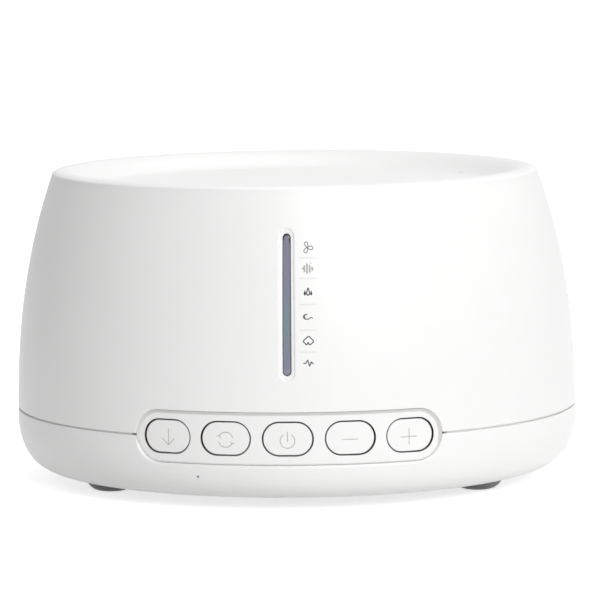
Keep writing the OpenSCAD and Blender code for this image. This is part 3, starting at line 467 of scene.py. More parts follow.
# %% Finish of every slot inside
board_tracks = {"pattern": (tracked, {"Track colour": (0.03, 0.2, 0.08, 1), "Pitch": 1.1})}
film_tracks = {
    "pattern": (tracked, {"Track colour": (0.75, 0.33, 0.08, 1), "Pitch": 0.8}), "Coat_Weight": 0.5}
# The dark between the threads of cloth and mesh is painted shade.
cloth_threads = {"pattern": (woven, {"Gap colour": (0.2, 0.09, 0.02, 1), "Pitch": 0.5})}
mesh_threads = {"pattern": (woven, {"Gap colour": (0.001, 0.001, 0.001, 1), "Pitch": 0.6})}
rolled = {"stretch": (1, 1, 9), "Metallic": 1.0}
drawn = {"stretch": (14, 14, 1), "Metallic": 1.0}
wound = {"stretch": (1, 1, 20), "Metallic": 1.0}
# slot: material, colour, roughness, mottle, gloss change, grain's size, grain's depth, other settings
FINISHES = {
    "black_plastic": ("black_plastic", (0.016, 0.016, 0.017), 0.45, 0.2, 0.1, 0.3, 0.01, {}),
    "carrier_plastic": ("carrier_plastic", (0.035, 0.035, 0.04), 0.5, 0.2, 0.1, 0.3, 0.01, {}),
    "film": ("amber_film", (0.5, 0.2, 0.03), 0.25, 0.1, 0.05, 0.3, 0.01, film_tracks),
    "board": ("green_board", (0.01, 0.11, 0.04), 0.32, 0.1, 0.05, 0.3, 0.02, board_tracks),
    "chip": ("chip_case", (0.012, 0.012, 0.013), 0.55, 0.2, 0.1, 0.12, 0.008, {}),
    "socket": ("ivory_nylon", (0.75, 0.7, 0.56), 0.4, 0.05, 0.1, 0.3, 0.006, {}),
    "lamp": ("lamp_epoxy", (0.8, 0.6, 0.15), 0.15, 0.1, 0.05, 0.3, 0.002, {"Coat_Weight": 1.0}),
    "steel": ("zinc_steel", (0.56, 0.56, 0.58), 0.34, 0.25, 0.25, 0.3, 0.004, rolled),
    "can": ("drawn_can", (0.72, 0.72, 0.74), 0.28, 0.15, 0.2, 0.3, 0.004, drawn),
    "ferrite": ("grey_ferrite", (0.035, 0.035, 0.038), 0.65, 0.5, 0.2, 0.5, 0.03, {}),
    "copper": ("copper_winding", (0.6, 0.2, 0.07), 0.3, 0.3, 0.2, 0.2, 0.02, wound),
    "paper": ("pressed_paper", (0.02, 0.02, 0.022), 0.85, 0.6, 0.1, 0.6, 0.05, {}),
    "cloth": ("dipped_cotton", (0.6, 0.34, 0.1), 0.8, 0.3, 0.1, 0.4, 0.08, cloth_threads),
    "mesh": ("dust_mesh", (0.03, 0.03, 0.032), 0.7, 0.2, 0.1, 0.4, 0.1, mesh_threads),
    "soft_black": ("foam_rubber", (0.012, 0.012, 0.012), 0.9, 0.5, 0.1, 0.45, 0.06, {}),
    "phenolic": ("brown_phenolic", (0.25, 0.12, 0.05), 0.55, 0.5, 0.1, 0.4, 0.01, {"stretch": (1, 7, 1)}),
    "wire": ("red_wire", (0.45, 0.012, 0.01), 0.4, 0.1, 0.1, 0.3, 0.004, {}),
}
inner_materials = {slot: plastic(*values, **more) for slot, (*values, more) in FINISHES.items()}
dressed = 0
for part in frame["record"]["subparts"]:
    if part["material_slot"] in inner_materials:
        for slot in frame["nodes"][part["node"]].material_slots:
            slot.link = "OBJECT"
            slot.material = inner_materials[part["material_slot"]]
            dressed += 1
print("slots dressed:", dressed)

# %% [markdown]
# ## The line where the shells meet
# The upper shell ends in a straight seam, and in a notch that arches over the key panel. The bowl's
# edge is its mirror image. Both start from one path: along the seam, round a small fillet, round the end
# of the capsule and along its straight side. The path is a list of columns; a sheet is made by moving
# the columns step by step away from the path.

# %% The seam and notch path
key_z = seam_z
notch_r = 6.35
notch_half = 32.05
seam_half_gap = 0.2
corner_r = 0.5
bar_z = 49.975
bar_l = 33.05
bar_w = 1.9
bar_recess = 0.5
margin_depth = 0.32
window_half = 4.0
even_x = 50.0
tiny = 1e-6
back_columns, side_columns, fillet_columns = 64, 12, 6
end_columns, top_columns, window_columns = 22, 25, 9


def seam_path():
    """Columns of (x, height over the seam's middle, normal x, normal height) from the back to the front's
    middle: straight, fillet, quarter circle, straight. The normals point into the shell. The other half
    is the mirror image."""
    fillet_h = seam_half_gap + corner_r
    fillet_x = -notch_half - math.sqrt((notch_r + corner_r) ** 2 - fillet_h ** 2)
    lean = math.atan2(fillet_h, -notch_half - fillet_x)
    columns = []
    back = np.linspace(-half_turn, -even_x, back_columns)[:-1]
    side = np.linspace(-even_x, fillet_x, side_columns)[:-1]
    for x in np.concatenate([back, side]):
        columns.append((x, seam_half_gap, 0, 1))
    for a in np.linspace(-math.pi / 2, -lean, fillet_columns)[:-1]:
        c, s = math.cos(a), math.sin(a)
        columns.append((fillet_x + corner_r * c, fillet_h + corner_r * s, -c, -s))
    for a in np.linspace(math.pi - lean, math.pi / 2, end_columns)[:-1]:
        c, s = math.cos(a), math.sin(a)
        columns.append((-notch_half + notch_r * c, notch_r * s, c, s))
    top = np.linspace(-notch_half, -window_half, top_columns)[:-1]
    for x in np.concatenate([top, np.linspace(-window_half, 0, window_columns)]):
        columns.append((x, notch_r, 0, 1))
    left = np.array(columns)
    right = left[-2:0:-1] * [-1, 1, -1, 1]
    return np.concatenate([left, right])


path = seam_path()
path_x, path_h = path[:, 0], path[:, 1]
path_normal = path[:, 2:]
steps = np.hypot(np.diff(path_x), np.diff(path_h))
path_s = np.concatenate([[0], np.cumsum(steps)])
path_ds = np.gradient(path_s)
print("columns round the body:", len(path))

# %% [markdown]
# ## Rows beside the seam
# Away from the path the rows have to turn into plain rings without crossing at the notch's corners. So
# the directions in which the columns leave the path are averaged over a short length of it, and the
# columns then spread out evenly. Along the front the third row's own path is averaged too.

# %% From the seam to a plain ring
def softened(columns, width):
    """Columns averaged over a width along the path, with a bell curve for weights."""
    weight = np.exp(-((path_s[:, None] - path_s[None, :]) / width) ** 2 / 2) * path_ds
    return (weight @ columns) / weight.sum(1, keepdims=True)


def settled_x():
    """Where each column runs once it has left the path: half way between an even spread by count and one
    by length along the path, from even_x to the window."""
    target = path_x.copy()
    inside = np.where(np.abs(path_x) < even_x + tiny)[0]
    for side in (-1, 1):
        part = inside[path_x[inside] * side >= window_half - tiny]
        by_count = np.linspace(path_x[part[0]], path_x[part[-1]], len(part))
        share = (path_s[part] - path_s[part[0]]) / (path_s[part[-1]] - path_s[part[0]])
        by_length = path_x[part[0]] + share * (path_x[part[-1]] - path_x[part[0]])
        target[part] = (by_count + by_length) / 2
    return target


path_settled = settled_x()
joint_x, joint_run, joint_inset = 39.8, 2.0, 0.1
tongue_h, tongue_depth = 1.3, 0.65
rebate_h, rebate_depth = 1.4, 0.55
rebate_rows, round_steps = 11, 6
near_offsets, near_share = (1.0, 1.5), 0.8
far_offset, far_width, near_x = 2.2, 2.2, 46.0
blend_steps = (0.22, 0.46, 0.72, 1.0)
edge_round = 0.25
notch_round = 0.7
arch = np.clip((path_h - seam_half_gap) / (notch_r - seam_half_gap), 0, 1)
path_round = edge_round + (notch_round - edge_round) * arch ** 1.5


def edge_rows(upwards, z_end):
    """Rows from the seam's edge to a plain ring: the joint's step, the rounded edge, three rows beside it
    and a blend. The bowl's step is a tongue, and the upper shell's is the rebate that takes it. Gives x, z
    and depth for each row, from the inside outwards. In the blend the height moves by a share of its way,
    and x by the square of that share."""
    rows = []
    sign = 1 if upwards else -1

    def row(offset, normals, depth, middle=path[:, :2]):
        x = middle[:, 0] + offset * normals[:, 0]
        h = middle[:, 1] + offset * normals[:, 1]
        rows.append((x, key_z + sign * h, np.broadcast_to(depth, x.shape)))

    joint = np.clip((np.abs(path_x) - joint_x) / joint_run, 0, 1)
    reach = rebate_h * joint if upwards else -tongue_h * joint
    shelf = rebate_depth if upwards else tongue_depth
    row(reach, path_normal, wall - joint_inset)
    row(reach, path_normal, shelf)
    row(0 * reach, path_normal, shelf)
    soft = 0 * path_round + edge_round if upwards else path_round
    for a in np.linspace(math.pi / 2, 0, round_steps + 1):
        row(soft * (1 - math.sin(a)), path_normal, soft * (1 - math.cos(a)))
    for offset in near_offsets:
        row(offset, softened(path_normal, near_share * offset), 0.0)
    near = np.abs(path_x[:, None]) < near_x
    row(far_offset, softened(path_normal, far_width), 0.0,
        np.where(near, softened(path[:, :2], far_width), path[:, :2]))
    last_x, last_z, _ = rows[-1]
    for t in blend_steps:
        rows.append((last_x + (path_settled - last_x) * t * t, last_z + (z_end - last_z) * t, 0 * last_x))
    return rows


print("rows from the seam to the plain wall:", len(edge_rows(True, bar_z)))

# %% [markdown]
# ## A window in a sheet
# The light bar sits in a shallow upright margin. Its rings are stadiums, and the sheet round it is a
# grid, so a patch runs between the two: each point on the border of the window is drawn towards the
# nearest point on the stadium's middle line. The same rule later puts the round-ended keys in their panel.

# %% Rays from a border to a stadium
def rays(border, half, axis):
    """For border points (n, 2): the nearest points on the middle line of a stadium that lies along an
    axis, the directions out to the border, and the distances."""
    middle = np.zeros_like(border)
    middle[:, axis] = np.clip(border[:, axis], -half, half)
    out = border - middle
    reach = np.hypot(out[:, 0], out[:, 1])
    return middle, out / reach[:, None], reach


def ringed(middle, out, rings, x0, z0):
    """A sheet of rings about the point (x0, z0) of the skin. A ring is (reach, depth): its points lie that
    far from the middle line, in the directions out, and that deep under the skin."""
    points = []
    for reach, depth in rings:
        at = middle + out * np.broadcast_to(reach, len(out))[:, None]
        points.append(on_skin(x0 + at[:, 0], z0 + at[:, 1], depth))
    return grid(np.array(points), wrap=True)


def grid_border(xs, zs):
    """The border of the grid of columns xs and levels zs: along the first level, the last column, the
    last level and the first column."""
    return np.concatenate([
        np.stack([xs, np.full_like(xs, zs[0])], -1)[:-1],
        np.stack([np.full_like(zs, xs[-1]), zs], -1)[:-1],
        np.stack([xs[::-1], np.full_like(xs, zs[-1])], -1)[:-1],
        np.stack([np.full_like(zs, xs[0]), zs[::-1]], -1)[:-1],
    ])


print("points on the border of a grid of 5 by 9:", len(grid_border(np.arange(5.0), np.arange(9.0))))

# %% [markdown]
# ## The upper shell
# One closed skin: from the middle of the ceiling down the inside, round the edge, up the outside, over
# the rim and across the dish to the middle of the top.

# %% Upper shell
window_end, widest_ring = 3.05, 2.4
slot_gap = 0.1
front_half = 10.0
ceiling_inset, ceiling_drop = 1.5, 0.5


def upper_shell():
    """Rows are joined in one sheet that wraps round the body. The window that is left out of it is filled
    by a patch of stadium rings, which sinks to the light bar's margin and slot."""
    z_flat = bar_z - bar_l / 2 - window_end
    z_window = bar_z + bar_l / 2 + window_end
    medial = (bar_l - bar_w) / 2
    outside = edge_rows(True, z_flat)
    levels = np.concatenate([
        np.linspace(z_flat, bar_z - medial, 5)[1:],
        np.linspace(bar_z - medial, bar_z + medial, 14)[1:],
        np.linspace(bar_z + medial, z_window, 5)[1:],
    ])
    window_rows = (len(outside) - 1, len(outside) - 1 + len(levels))
    upper = np.linspace(z_window, crest_z - rim_h, 5)[1:]
    for z in np.concatenate([levels, upper]):
        outside.append((path_settled, np.full_like(path_x, z), np.zeros_like(path_x)))
    x, z, depth = (np.array(v) for v in zip(*outside))
    wall_out = on_skin(x, z, depth)
    edge_wall_r = float(shell_r(crest_z - rim_h))
    a = np.linspace(0, math.pi / 2, 13)[1:]
    rim_radii = edge_wall_r - (edge_wall_r - crest_r) * (1 - np.cos(a))
    rim_levels = crest_z - rim_h + rim_h * np.sin(a)
    slope = np.linspace(crest_r, dish_r, 19)[1:]
    dish_radii = np.concatenate([slope, np.linspace(dish_r, 0, 9)[1:]])
    top_radii = np.concatenate([rim_radii, dish_radii])
    top_levels = np.concatenate([rim_levels, dish_top(dish_radii)])
    top_out = around(path_settled, top_radii[:, None], top_levels[:, None])
    ceiling_r = edge_wall_r - wall - ceiling_inset
    under_radii = np.concatenate([np.linspace(0, dish_r, 7), np.linspace(dish_r, ceiling_r, 9)[1:]])
    under_levels = dish_top(under_radii) - wall
    ceiling = around(path_settled, under_radii[:, None], under_levels[:, None])
    keep = z[:, 0] < under_levels[-1] - ceiling_drop
    keep[1:rebate_rows] = False
    inner_depth = np.full_like(z, wall)
    wall_in = on_skin(x, z, inner_depth)[keep][::-1]
    sheet = np.concatenate([ceiling, wall_in, wall_out, top_out])
    in_window = np.abs((path_settled + np.roll(path_settled, -1)) / 2) < window_half
    in_window &= np.abs(path_x) < front_half
    skip = np.zeros((len(sheet) - 1, len(path)), bool)
    first_out = len(ceiling) + len(wall_in)
    skip[first_out + window_rows[0]:first_out + window_rows[1], in_window] = True
    last_in = len(ceiling) + len(wall_in) - 1 + rebate_rows - 1
    skip[last_in - window_rows[1]:last_in - window_rows[0], in_window] = True
    side_z = np.concatenate([[z_flat], levels]) - bar_z
    front_x = np.sort(path_settled[np.abs(path_settled) <= window_half + tiny])
    middle, out, reach = rays(grid_border(front_x, side_z[::-1]), medial, 1)
    r_slot = bar_w / 2 + slot_gap
    # radius (None: from the border), share of the way to the widest ring, depth, added length
    rings = [
        (None, 0, 0, 0), (None, 0.4, 0, 0.2), (widest_ring, 0, 0, 0.4), (1.98, 0, 0, 0.4),
        (1.92, 0, 0.02, 0.4), (1.87, 0, 0.08, 0.4), (1.82, 0, 0.16, 0.4), (1.77, 0, 0.23, 0.38),
        (1.7, 0, 0.28, 0.34), (1.55, 0, margin_depth, 0.25), (r_slot + 0.14, 0, margin_depth + 0.02, 0),
        (r_slot + 0.04, 0, margin_depth + 0.06, 0), (r_slot, 0, margin_depth + 0.16, 0),
        (r_slot, 0, wall, 0), (widest_ring, 0, wall, 0), (None, 0, wall, 0),
    ]
    points = []
    for radius, share, ring_depth, longer in rings:
        inwards = reach + (widest_ring - reach) * share
        reach_now = inwards if radius is None else np.full_like(reach, radius)
        at = middle * [1, 1 + longer / medial] + out * reach_now[:, None]
        points.append(on_skin(at[:, 0], bar_z + at[:, 1], ring_depth))
    patch = grid(np.array(points), wrap=True)
    return [grid(sheet, wrap=True, skip=skip), patch]


upper_sheets = upper_shell()
print("points in the upper shell:", sum(len(points) for points, _ in upper_sheets))

# %% [markdown]
# ## Turned shapes
# Posts and feet are round, as if turned on a lathe: a profile of radius and height is carried round an
# upright axis. The upper shell has four posts for the housing's screws, one above each foot. They reach
# into the ceiling. Where the dish slopes down, the inward side of each flat top comes through its skin
# by about a tenth of a millimetre.

# %% Posts, and the upper shell's piece
foot_x, foot_y = 45.03, 26.0
FEET = {
    "front_left": (-foot_x, -foot_y), "front_right": (foot_x, -foot_y),
    "rear_left": (-foot_x, foot_y), "rear_right": (foot_x, foot_y),
}
boss_top_z = 20.0
post_r, boss_r, screw_r, post_sunk = 4.0, 4.5, 1.55, 0.4


def lathe(profile, sides, centre, close=True):
    """A profile of (radius, height) turned about an upright axis. close joins its last point to its first."""
    profile = np.array(profile, float)
    if close:
        profile = np.concatenate([profile, profile[:1]])
    angle = np.linspace(0, 2 * math.pi, sides, endpoint=False)
    r, z = profile[:, :1], profile[:, 1:]
    x, y = centre[0] + r * np.sin(angle), centre[1] - r * np.cos(angle)
    return grid(np.stack(np.broadcast_arrays(x, y, z), -1), wrap=True)


def tube(centre, z0, z1, outer, inner, sides=32):
    """An upright round post with a bore: a rectangle turned about its axis."""
    return lathe([(inner, z0), (outer, z0), (outer, z1), (inner, z1)], sides, centre)


screw_posts = [tube(place, boss_top_z, dish_z + post_sunk, post_r, screw_r) for place in FEET.values()]
shell_top = build("shell_top", upper_sheets + screw_posts)
fit(shell_top, "housing", ["upper_housing"], white_shell)

# %% [markdown]
# ## The bowl
# The lower shell is one skin as well, and its floor holds the sound holes. A grid can't have that many
# round holes, so the middle of the floor is a flat plate of triangles: the rim and the circles are given
# as edges, and a triangulation fills what lies between them.

# %% A plate with round holes
grille_r, grille_pitch = 19.5, 3.9
grille_hole_r = 1.1
plate_r = 26.0
hole_sides, inside_share = 16, 0.98


def grille_centres():
    """Middles of the sound holes on a triangular grid, inside a circle."""
    reach = int(grille_r / grille_pitch) + 1
    centres = []
    for j in range(-reach, reach + 1):
        for i in range(-2 * reach, 2 * reach + 1):
            x = (i + (abs(j) % 2) / 2) * grille_pitch
            y = j * grille_pitch * math.sin(math.radians(60))
            if math.hypot(x, y) < grille_r:
                centres.append((x, y))
    return np.array(centres)


def holed_plate(rim_xy, centres, radius, z_low, z_high):
    """A flat plate with round holes: triangles between the rim and the holes, and the holes' walls. A
    triangle whose middle lies nearer to a hole's centre than the hole's sides is left out."""
    sides = hole_sides
    a = np.linspace(0, 2 * math.pi, sides, endpoint=False)
    circle = radius * np.stack([np.cos(a), np.sin(a)], -1)
    holes = centres[:, None, :] + circle
    flat = np.concatenate([rim_xy, holes.reshape(-1, 2)])
    n = len(rim_xy)
    edges = [(i, (i + 1) % n) for i in range(n)]
    for k in range(len(centres)):
        first = n + k * sides
        edges += [(first + i, first + (i + 1) % sides) for i in range(sides)]
    verts, _, faces, _, _, _ = delaunay_2d_cdt([Vector(p) for p in flat], edges, [], 0, 1e-5)
    verts = np.array([tuple(v) for v in verts])
    faces = np.array(faces)
    middle = verts[faces].mean(1)
    near = np.hypot(*(middle[:, None, :] - centres[None]).transpose(2, 0, 1)).min(1)
    faces = faces[near > radius * inside_share]
    bottom = np.c_[verts, np.full(len(verts), z_low)]
    top = np.c_[verts, np.full(len(verts), z_high)]
    sheets = [(bottom, faces[:, ::-1]), (top, faces)]
    for loop in holes:
        levels = np.array([np.c_[loop, np.full(sides, z)] for z in (z_low, z_high)])
        sheets.append(grid(levels, wrap=True))
    return sheets


print("sound holes:", len(grille_centres()))

# %% [markdown]
# ## The bowl's skin
# The bowl's edge is the other side of the seam, so it is made from the same path as the upper shell's.
# One sheet runs from the floor out and up the inside, over the edge, down the outside and in under the
# base. The plate with the holes closes it in the middle.

# %% Bowl
def bowl():
    """The bowl's skin: the inner floor out to the wall, up the inside, round the edge, down the outside.
    Below z_flat the levels bunch up towards the base, by the power that rounds the outline there."""
    z_flat = 8.8
    outside = edge_rows(False, z_flat)
    x, z, depth = (np.array(v) for v in zip(*outside))
    wall_out = on_skin(x, z, depth)
    down0 = (widest_z - z_flat) / (widest_z - base_z)
    w = np.linspace(1, 0, 19)[1:]
    down = 1 - (1 - down0) * w ** bowl_n
    levels = widest_z - down * (widest_z - base_z)
    corner = around(path_settled, shell_r(levels)[:, None], levels[:, None])
    bottom_r = np.linspace(base_r, plate_r, 9)[1:]
    bottom = around(path_settled, bottom_r[:, None], base_z)
    outer = np.concatenate([wall_out, corner, bottom])
    in_z = np.where(z >= widest_z, z, widest_z - (widest_z - z) * (widest_z - floor_z) / (widest_z - base_z))
    wall_in = around(x, bowl_in_r(in_z), in_z)
    in_levels = widest_z - down * (widest_z - floor_z)
    in_corner = around(path_settled, bowl_in_r(in_levels)[:, None], in_levels[:, None])
    floor_r = np.linspace(base_r - wall, plate_r, 9)[1:]
    in_floor = around(path_settled, floor_r[:, None], floor_z)
    inner = np.concatenate([wall_in, in_corner, in_floor])
    sheet = np.concatenate([inner[::-1], outer])
    plate = holed_plate(outer[-1][:, :2], grille_centres(), grille_hole_r, base_z, floor_z)
    return [grid(sheet, wrap=True)] + plate


bowl_sheets = bowl()
print("points in the bowl:", sum(len(points) for points, _ in bowl_sheets))

# %% [markdown]
# ## Holes in the bowl, and posts on its floor
# The pinhole and the power inlet's seat and hole don't follow the lines of the grid, so they are cut out
# of the finished skin with round bars. The posts and the speaker's ring are added afterwards, and stand
# a little into the floor.

# %% The bowl's piece
bar_sides = 64


def drill(piece, cutters):
    """Takes round bars away from a piece, exactly. A bar is (start, direction, radius, length)."""
    bm = bmesh.new()
    for start, direction, radius, length in cutters:
        middle = Vector(start) + Vector(direction) * length / 2
        turned = Vector(direction).to_track_quat("Z", "Y").to_matrix().to_4x4()
        bmesh.ops.create_cone(
            bm, cap_ends=True, segments=bar_sides, radius1=radius * MM, radius2=radius * MM,
            depth=length * MM, matrix=Matrix.Translation(middle * MM) @ turned)
    bars_mesh = bpy.data.meshes.new("bars")
    bm.to_mesh(bars_mesh)
    bm.free()
    bars = bpy.data.objects.new("bars", bars_mesh)
    bpy.context.scene.collection.objects.link(bars)
    less = piece.modifiers.new("less", "BOOLEAN")
    less.operation = "DIFFERENCE"
    less.solver = "EXACT"
    less.object = bars
    cut_mesh = bpy.data.meshes.new_from_object(piece.evaluated_get(bpy.context.evaluated_depsgraph_get()))
    piece.modifiers.clear()
    piece.data = cut_mesh
    bpy.data.objects.remove(bars)
    cut_mesh.shade_smooth()
    cut_mesh.set_sharp_from_angle(angle=sharp_angle)
    return piece


pin_angle, pin_z, pin_r = math.radians(-18.3), 9.0, 0.3
inlet_z, inlet_face_y, inlet_seat_r, inlet_hole_r = 13.0, 68.01, 4.5, 3.8
ring_top_z, ring_outer_r, ring_inner_r, ring_sides = 10.5, 29.0, 23.8, 96
pin_start_r, pin_length, bar_length = base_r - 4, 25, 10
pin_out = (math.sin(pin_angle), -math.cos(pin_angle), 0)
inner_posts = [tube(place, floor_z - post_sunk, boss_top_z, boss_r, screw_r) for place in FEET.values()]
inner_posts.append(tube((0, 0), floor_z - post_sunk, ring_top_z, ring_outer_r, ring_inner_r, ring_sides))
shell_base = drill(build("shell_base", bowl_sheets), [
    (Vector(pin_out) * pin_start_r + Vector((0, 0, pin_z)), pin_out, pin_r, pin_length),
    ((0, inlet_face_y, inlet_z), (0, 1, 0), inlet_seat_r, bar_length),
    ((0, inlet_face_y - bar_length, inlet_z), (0, 1, 0), inlet_hole_r, 2 * bar_length),
])
posts_mesh = build("posts", inner_posts)
whole = bmesh.new()
whole.from_mesh(shell_base.data)
whole.from_mesh(posts_mesh.data)
whole.to_mesh(shell_base.data)
whole.free()
bpy.data.objects.remove(posts_mesh)
fit(shell_base, "housing", ["lower_housing"], white_shell)

# %% [markdown]
# ## The key panel
# The keys stand in a long round-ended panel that is moulded in one with the bowl. It is made of five
# cells, one round each key, and a band round them all. Each cell starts from its own border, and only the
# two end cells have round ends.

# %% Borders of the panel's cells
key_pitch = math.radians(12.34) * body_r
middle_key = 2
key_w, key_h, key_gap = 11.75, 7.65, 0.35
panel_recess = 0.7
panel_t = 2.2
face_top_r, face_low_r = 5.5, 5.65
low_from, low_span = 0.12, 0.4
cell_across, cell_up, cell_end = 26, 14, 40
KEYS = ("arrow", "loop", "power", "minus", "plus")


def key_x(k):
    """How far round the front key k stands from the middle key."""
    return (k - middle_key) * key_pitch


def bowl_share(up):
    """How far an edge belongs to the bowl's side: 0 above the seam and 1 below, a smooth step by the sine
    of the edge's angle."""
    sunk = np.clip((-up - low_from) / low_span, 0, 1)
    return sunk * sunk * (3 - 2 * sunk)


def face_r(angle):
    """Radius of the flat face's outline round its end centres."""
    return face_top_r + (face_low_r - face_top_r) * float(bowl_share(math.sin(angle)))


def round_end(centre, start):
    """Half a turn of the face's outline about the centre of an end, anticlockwise from an angle."""
    angles = np.linspace(start, start + math.pi, cell_end + 1)[:-1]
    return [(centre + face_r(a) * math.cos(a), face_r(a) * math.sin(a)) for a in angles]


def cell_border(k):
    """The border of one key's part of the panel, round the key's middle, anticlockwise from the lower left:
    cell_across points along the bottom, then up the right side, back along the top and down the left. A
    side has cell_up points, or cell_end where it is a round end."""
    first, last = k == 0, k == len(KEYS) - 1
    top, low = face_top_r, -face_low_r
    centre = notch_half - middle_key * key_pitch
    left_x, right_x = -key_pitch / 2, key_pitch / 2
    if first:
        left_x = -centre
    if last:
        right_x = centre
    points = [(x, low) for x in np.linspace(left_x, right_x, cell_across + 1)[:-1]]
    if last:
        points += round_end(centre, -math.pi / 2)
    else:
        points += [(right_x, z) for z in np.linspace(low, top, cell_up + 1)[:-1]]
    points += [(x, top) for x in np.linspace(right_x, left_x, cell_across + 1)[:-1]]
    if first:
        points += round_end(-centre, math.pi / 2)
    else:
        points += [(left_x, z) for z in np.linspace(top, low, cell_up + 1)[:-1]]
    return np.array(points)


print("points on an inner cell's border:", len(cell_border(1)))

# %% [markdown]
# ## Cells and band
# Round a key the rings go from the cell's border to the hole's rounded edge, down the hole's wall and
# back out at the rear. The band goes round the outer edges of all five cells. Every border is shared, so
# the weld makes one closed piece of them.

# %% Cells and band
hole_round, hole_margin = 0.14, 0.1
cell_shares = (0.35, 0.65, 0.88)
panel_top_r, panel_low_r = 6.28, 6.33
lip_depth, tuck_depth = 0.1, 0.35
flange_w, flange_depth = 2.2, 2.5
straight = 0.75


def key_cell(k):
    """The panel round one key hole: from the cell's border to the hole, through it and back at the rear."""
    hole_r = key_h / 2 + key_gap
    middle, out, reach = rays(cell_border(k), (key_w - key_h) / 2, 0)
    back = panel_recess + panel_t
    near = hole_r + hole_round + hole_margin
    rows = [(reach, panel_recess)]
    for share in cell_shares:
        rows.append((reach + (near - reach) * share, panel_recess))
    for a in np.linspace(0, math.pi / 2, 6):
        sunk = hole_round * (1 - math.cos(a))
        rows.append((hole_r + hole_round * (1 - math.sin(a)), panel_recess + sunk))
    rows += [(hole_r, back), (reach, back)]
    return ringed(middle, out, rows, key_x(k), key_z)


def panel_rim():
    """The band round the panel: above the seam its face slopes out nearly to the upper shell's skin, by a
    straight line with a smooth step in it, and below the seam it rounds down against the bowl on a
    quarter circle. A flange closes the gap behind it."""
    cells = [cell_border(k) + [key_x(k), 0] for k in range(len(KEYS))]
    low_side = [cell[:cell_across] for cell in cells]
    high_starts = [cell_across + cell_up] * (len(KEYS) - 1) + [cell_across + cell_end]
    high_side = [cell[start:start + cell_across] for cell, start in zip(cells, high_starts)]
    right_end = cells[-1][cell_across:cell_across + cell_end]
    left_end = cells[0][-cell_end:]
    loop = np.concatenate(low_side + [right_end] + high_side[::-1] + [left_end])
    ahead = np.roll(loop, -1, 0) - np.roll(loop, 1, 0)
    ahead /= np.hypot(ahead[:, 0], ahead[:, 1])[:, None]
    normal = np.stack([ahead[:, 1], -ahead[:, 0]], -1)
    _, out, _ = rays(loop, notch_half, 0)
    low = bowl_share(out[:, 1])
    width = (panel_top_r - face_top_r) * (1 - low) + (panel_low_r - face_low_r) * low
    rows = []
    for t in np.linspace(0, 1, 10):
        ramp = straight * t + (1 - straight) * t * t * (3 - 2 * t)
        depth_top = panel_recess + (lip_depth - panel_recess) * ramp
        depth_low = panel_recess + tuck_depth * (1 - math.sqrt(1 - t * t))
        rows.append((width * t, depth_top * (1 - low) + depth_low * low))
    back = panel_recess + panel_t
    rows += [(width, flange_depth), (flange_w, flange_depth), (flange_w, back), (0, back)]
    return ringed(loop, normal, rows, 0, key_z)


key_panel = build("key_panel", [key_cell(k) for k in range(len(KEYS))] + [panel_rim()])
print("faces in the key panel:", len(key_panel.data.polygons))

# %% [markdown]
# ## Numbers that a material reads
# A gap between two pieces gets a painted dark shade, and a groove a painted grey shade. How deep a point
# lies under the body's surface says how much, so it is worked out once and kept on the mesh as an
# attribute. A material reads it by its name, and the painted shade stays on the piece however the piece
# moves.

# %% The shade in the gaps
gap_r = 4.5
# How the painted shade in a gap varies round a key, and how much painted shade the panel's slope gets.
outward_dark, below_pale, inward_pale = 0.55, 0.6, 0.5
slope_shade, slope_span = 0.27, 0.15
panel_gap_start, panel_gap_span = 0.06, 0.1


def places(piece):
    """The x, y and z of a piece's points, in millimetres."""
    flat = np.empty(len(piece.data.vertices) * 3)
    piece.data.vertices.foreach_get("co", flat)
    return flat.reshape(-1, 3).T / MM


def across_and_depth(x, y, z):
    """How far round the front each point lies from the middle, and how far under the body's surface."""
    return np.arctan2(x, -y) * body_r, shell_r(z) - np.hypot(x, y)


def store(piece, name, values):
    """Keeps one number for each point, which a material reads by its name."""
    piece.data.attributes.new(name, "FLOAT", "POINT").data.foreach_set("value", values)


def shade_gaps(piece, start, span):
    """Stores the painted shade in the gap round each key: 0 down to the depth start, and 1 from
    start + span. The painted shade starts darker on the outward side, away from the middle key, and it is
    paler on the inward side and under a key, where more light falls in. Further than gap_r from the key's
    middle line there is none. The panel's slope up to the notch lies in the housing's own shade, and gets a
    little of the same painted shade."""
    x, y, z = places(piece)
    across, depth = across_and_depth(x, y, z)
    key = np.clip(np.round(across / key_pitch), -middle_key, middle_key)
    beside = across - key * key_pitch
    outward = np.clip(beside * np.sign(key) / (key_w / 2), -1, 1)
    below = np.clip((key_z - z) / (key_h / 2), 0, 1)
    gap = np.clip((depth - start) / span + outward_dark * np.clip(outward, 0, 1), 0, 1)
    under = 1 - below_pale * below * np.clip(1 - outward, 0, 1)
    gap *= under * (1 + inward_pale * np.clip(outward, -1, 0))
    from_line = np.hypot(np.clip(np.abs(beside) - (key_w - key_h) / 2, 0, None), z - key_z)
    gap *= from_line < gap_r
    slope = np.clip((panel_recess - depth) / (panel_recess - lip_depth) / slope_span, 0, 1)
    # Painted shade, kept as a number for the panel's and the caps' material.
    store(piece, "painted_shade", np.maximum(gap, slope_shade * slope))


shade_gaps(key_panel, panel_recess + panel_gap_start, panel_gap_span)
fit(key_panel, "housing", ["lower_housing"], white_panel)

# %% [markdown]
# ## Feet
# Four grey rubber pads are glued under the base. Each is domed at its foot, so it never catches an edge,
# and fine rings round its side are left by the mould. One profile is turned about an upright axis.

# %% Feet
pad_flat_r, pad_r, pad_dome_h, pad_top_z = 2.4, 6.2, 3.1, 3.7
ring_pitch, ring_cut, ring_from_z = 0.52, 0.05, 0.2
pad_sides = 64


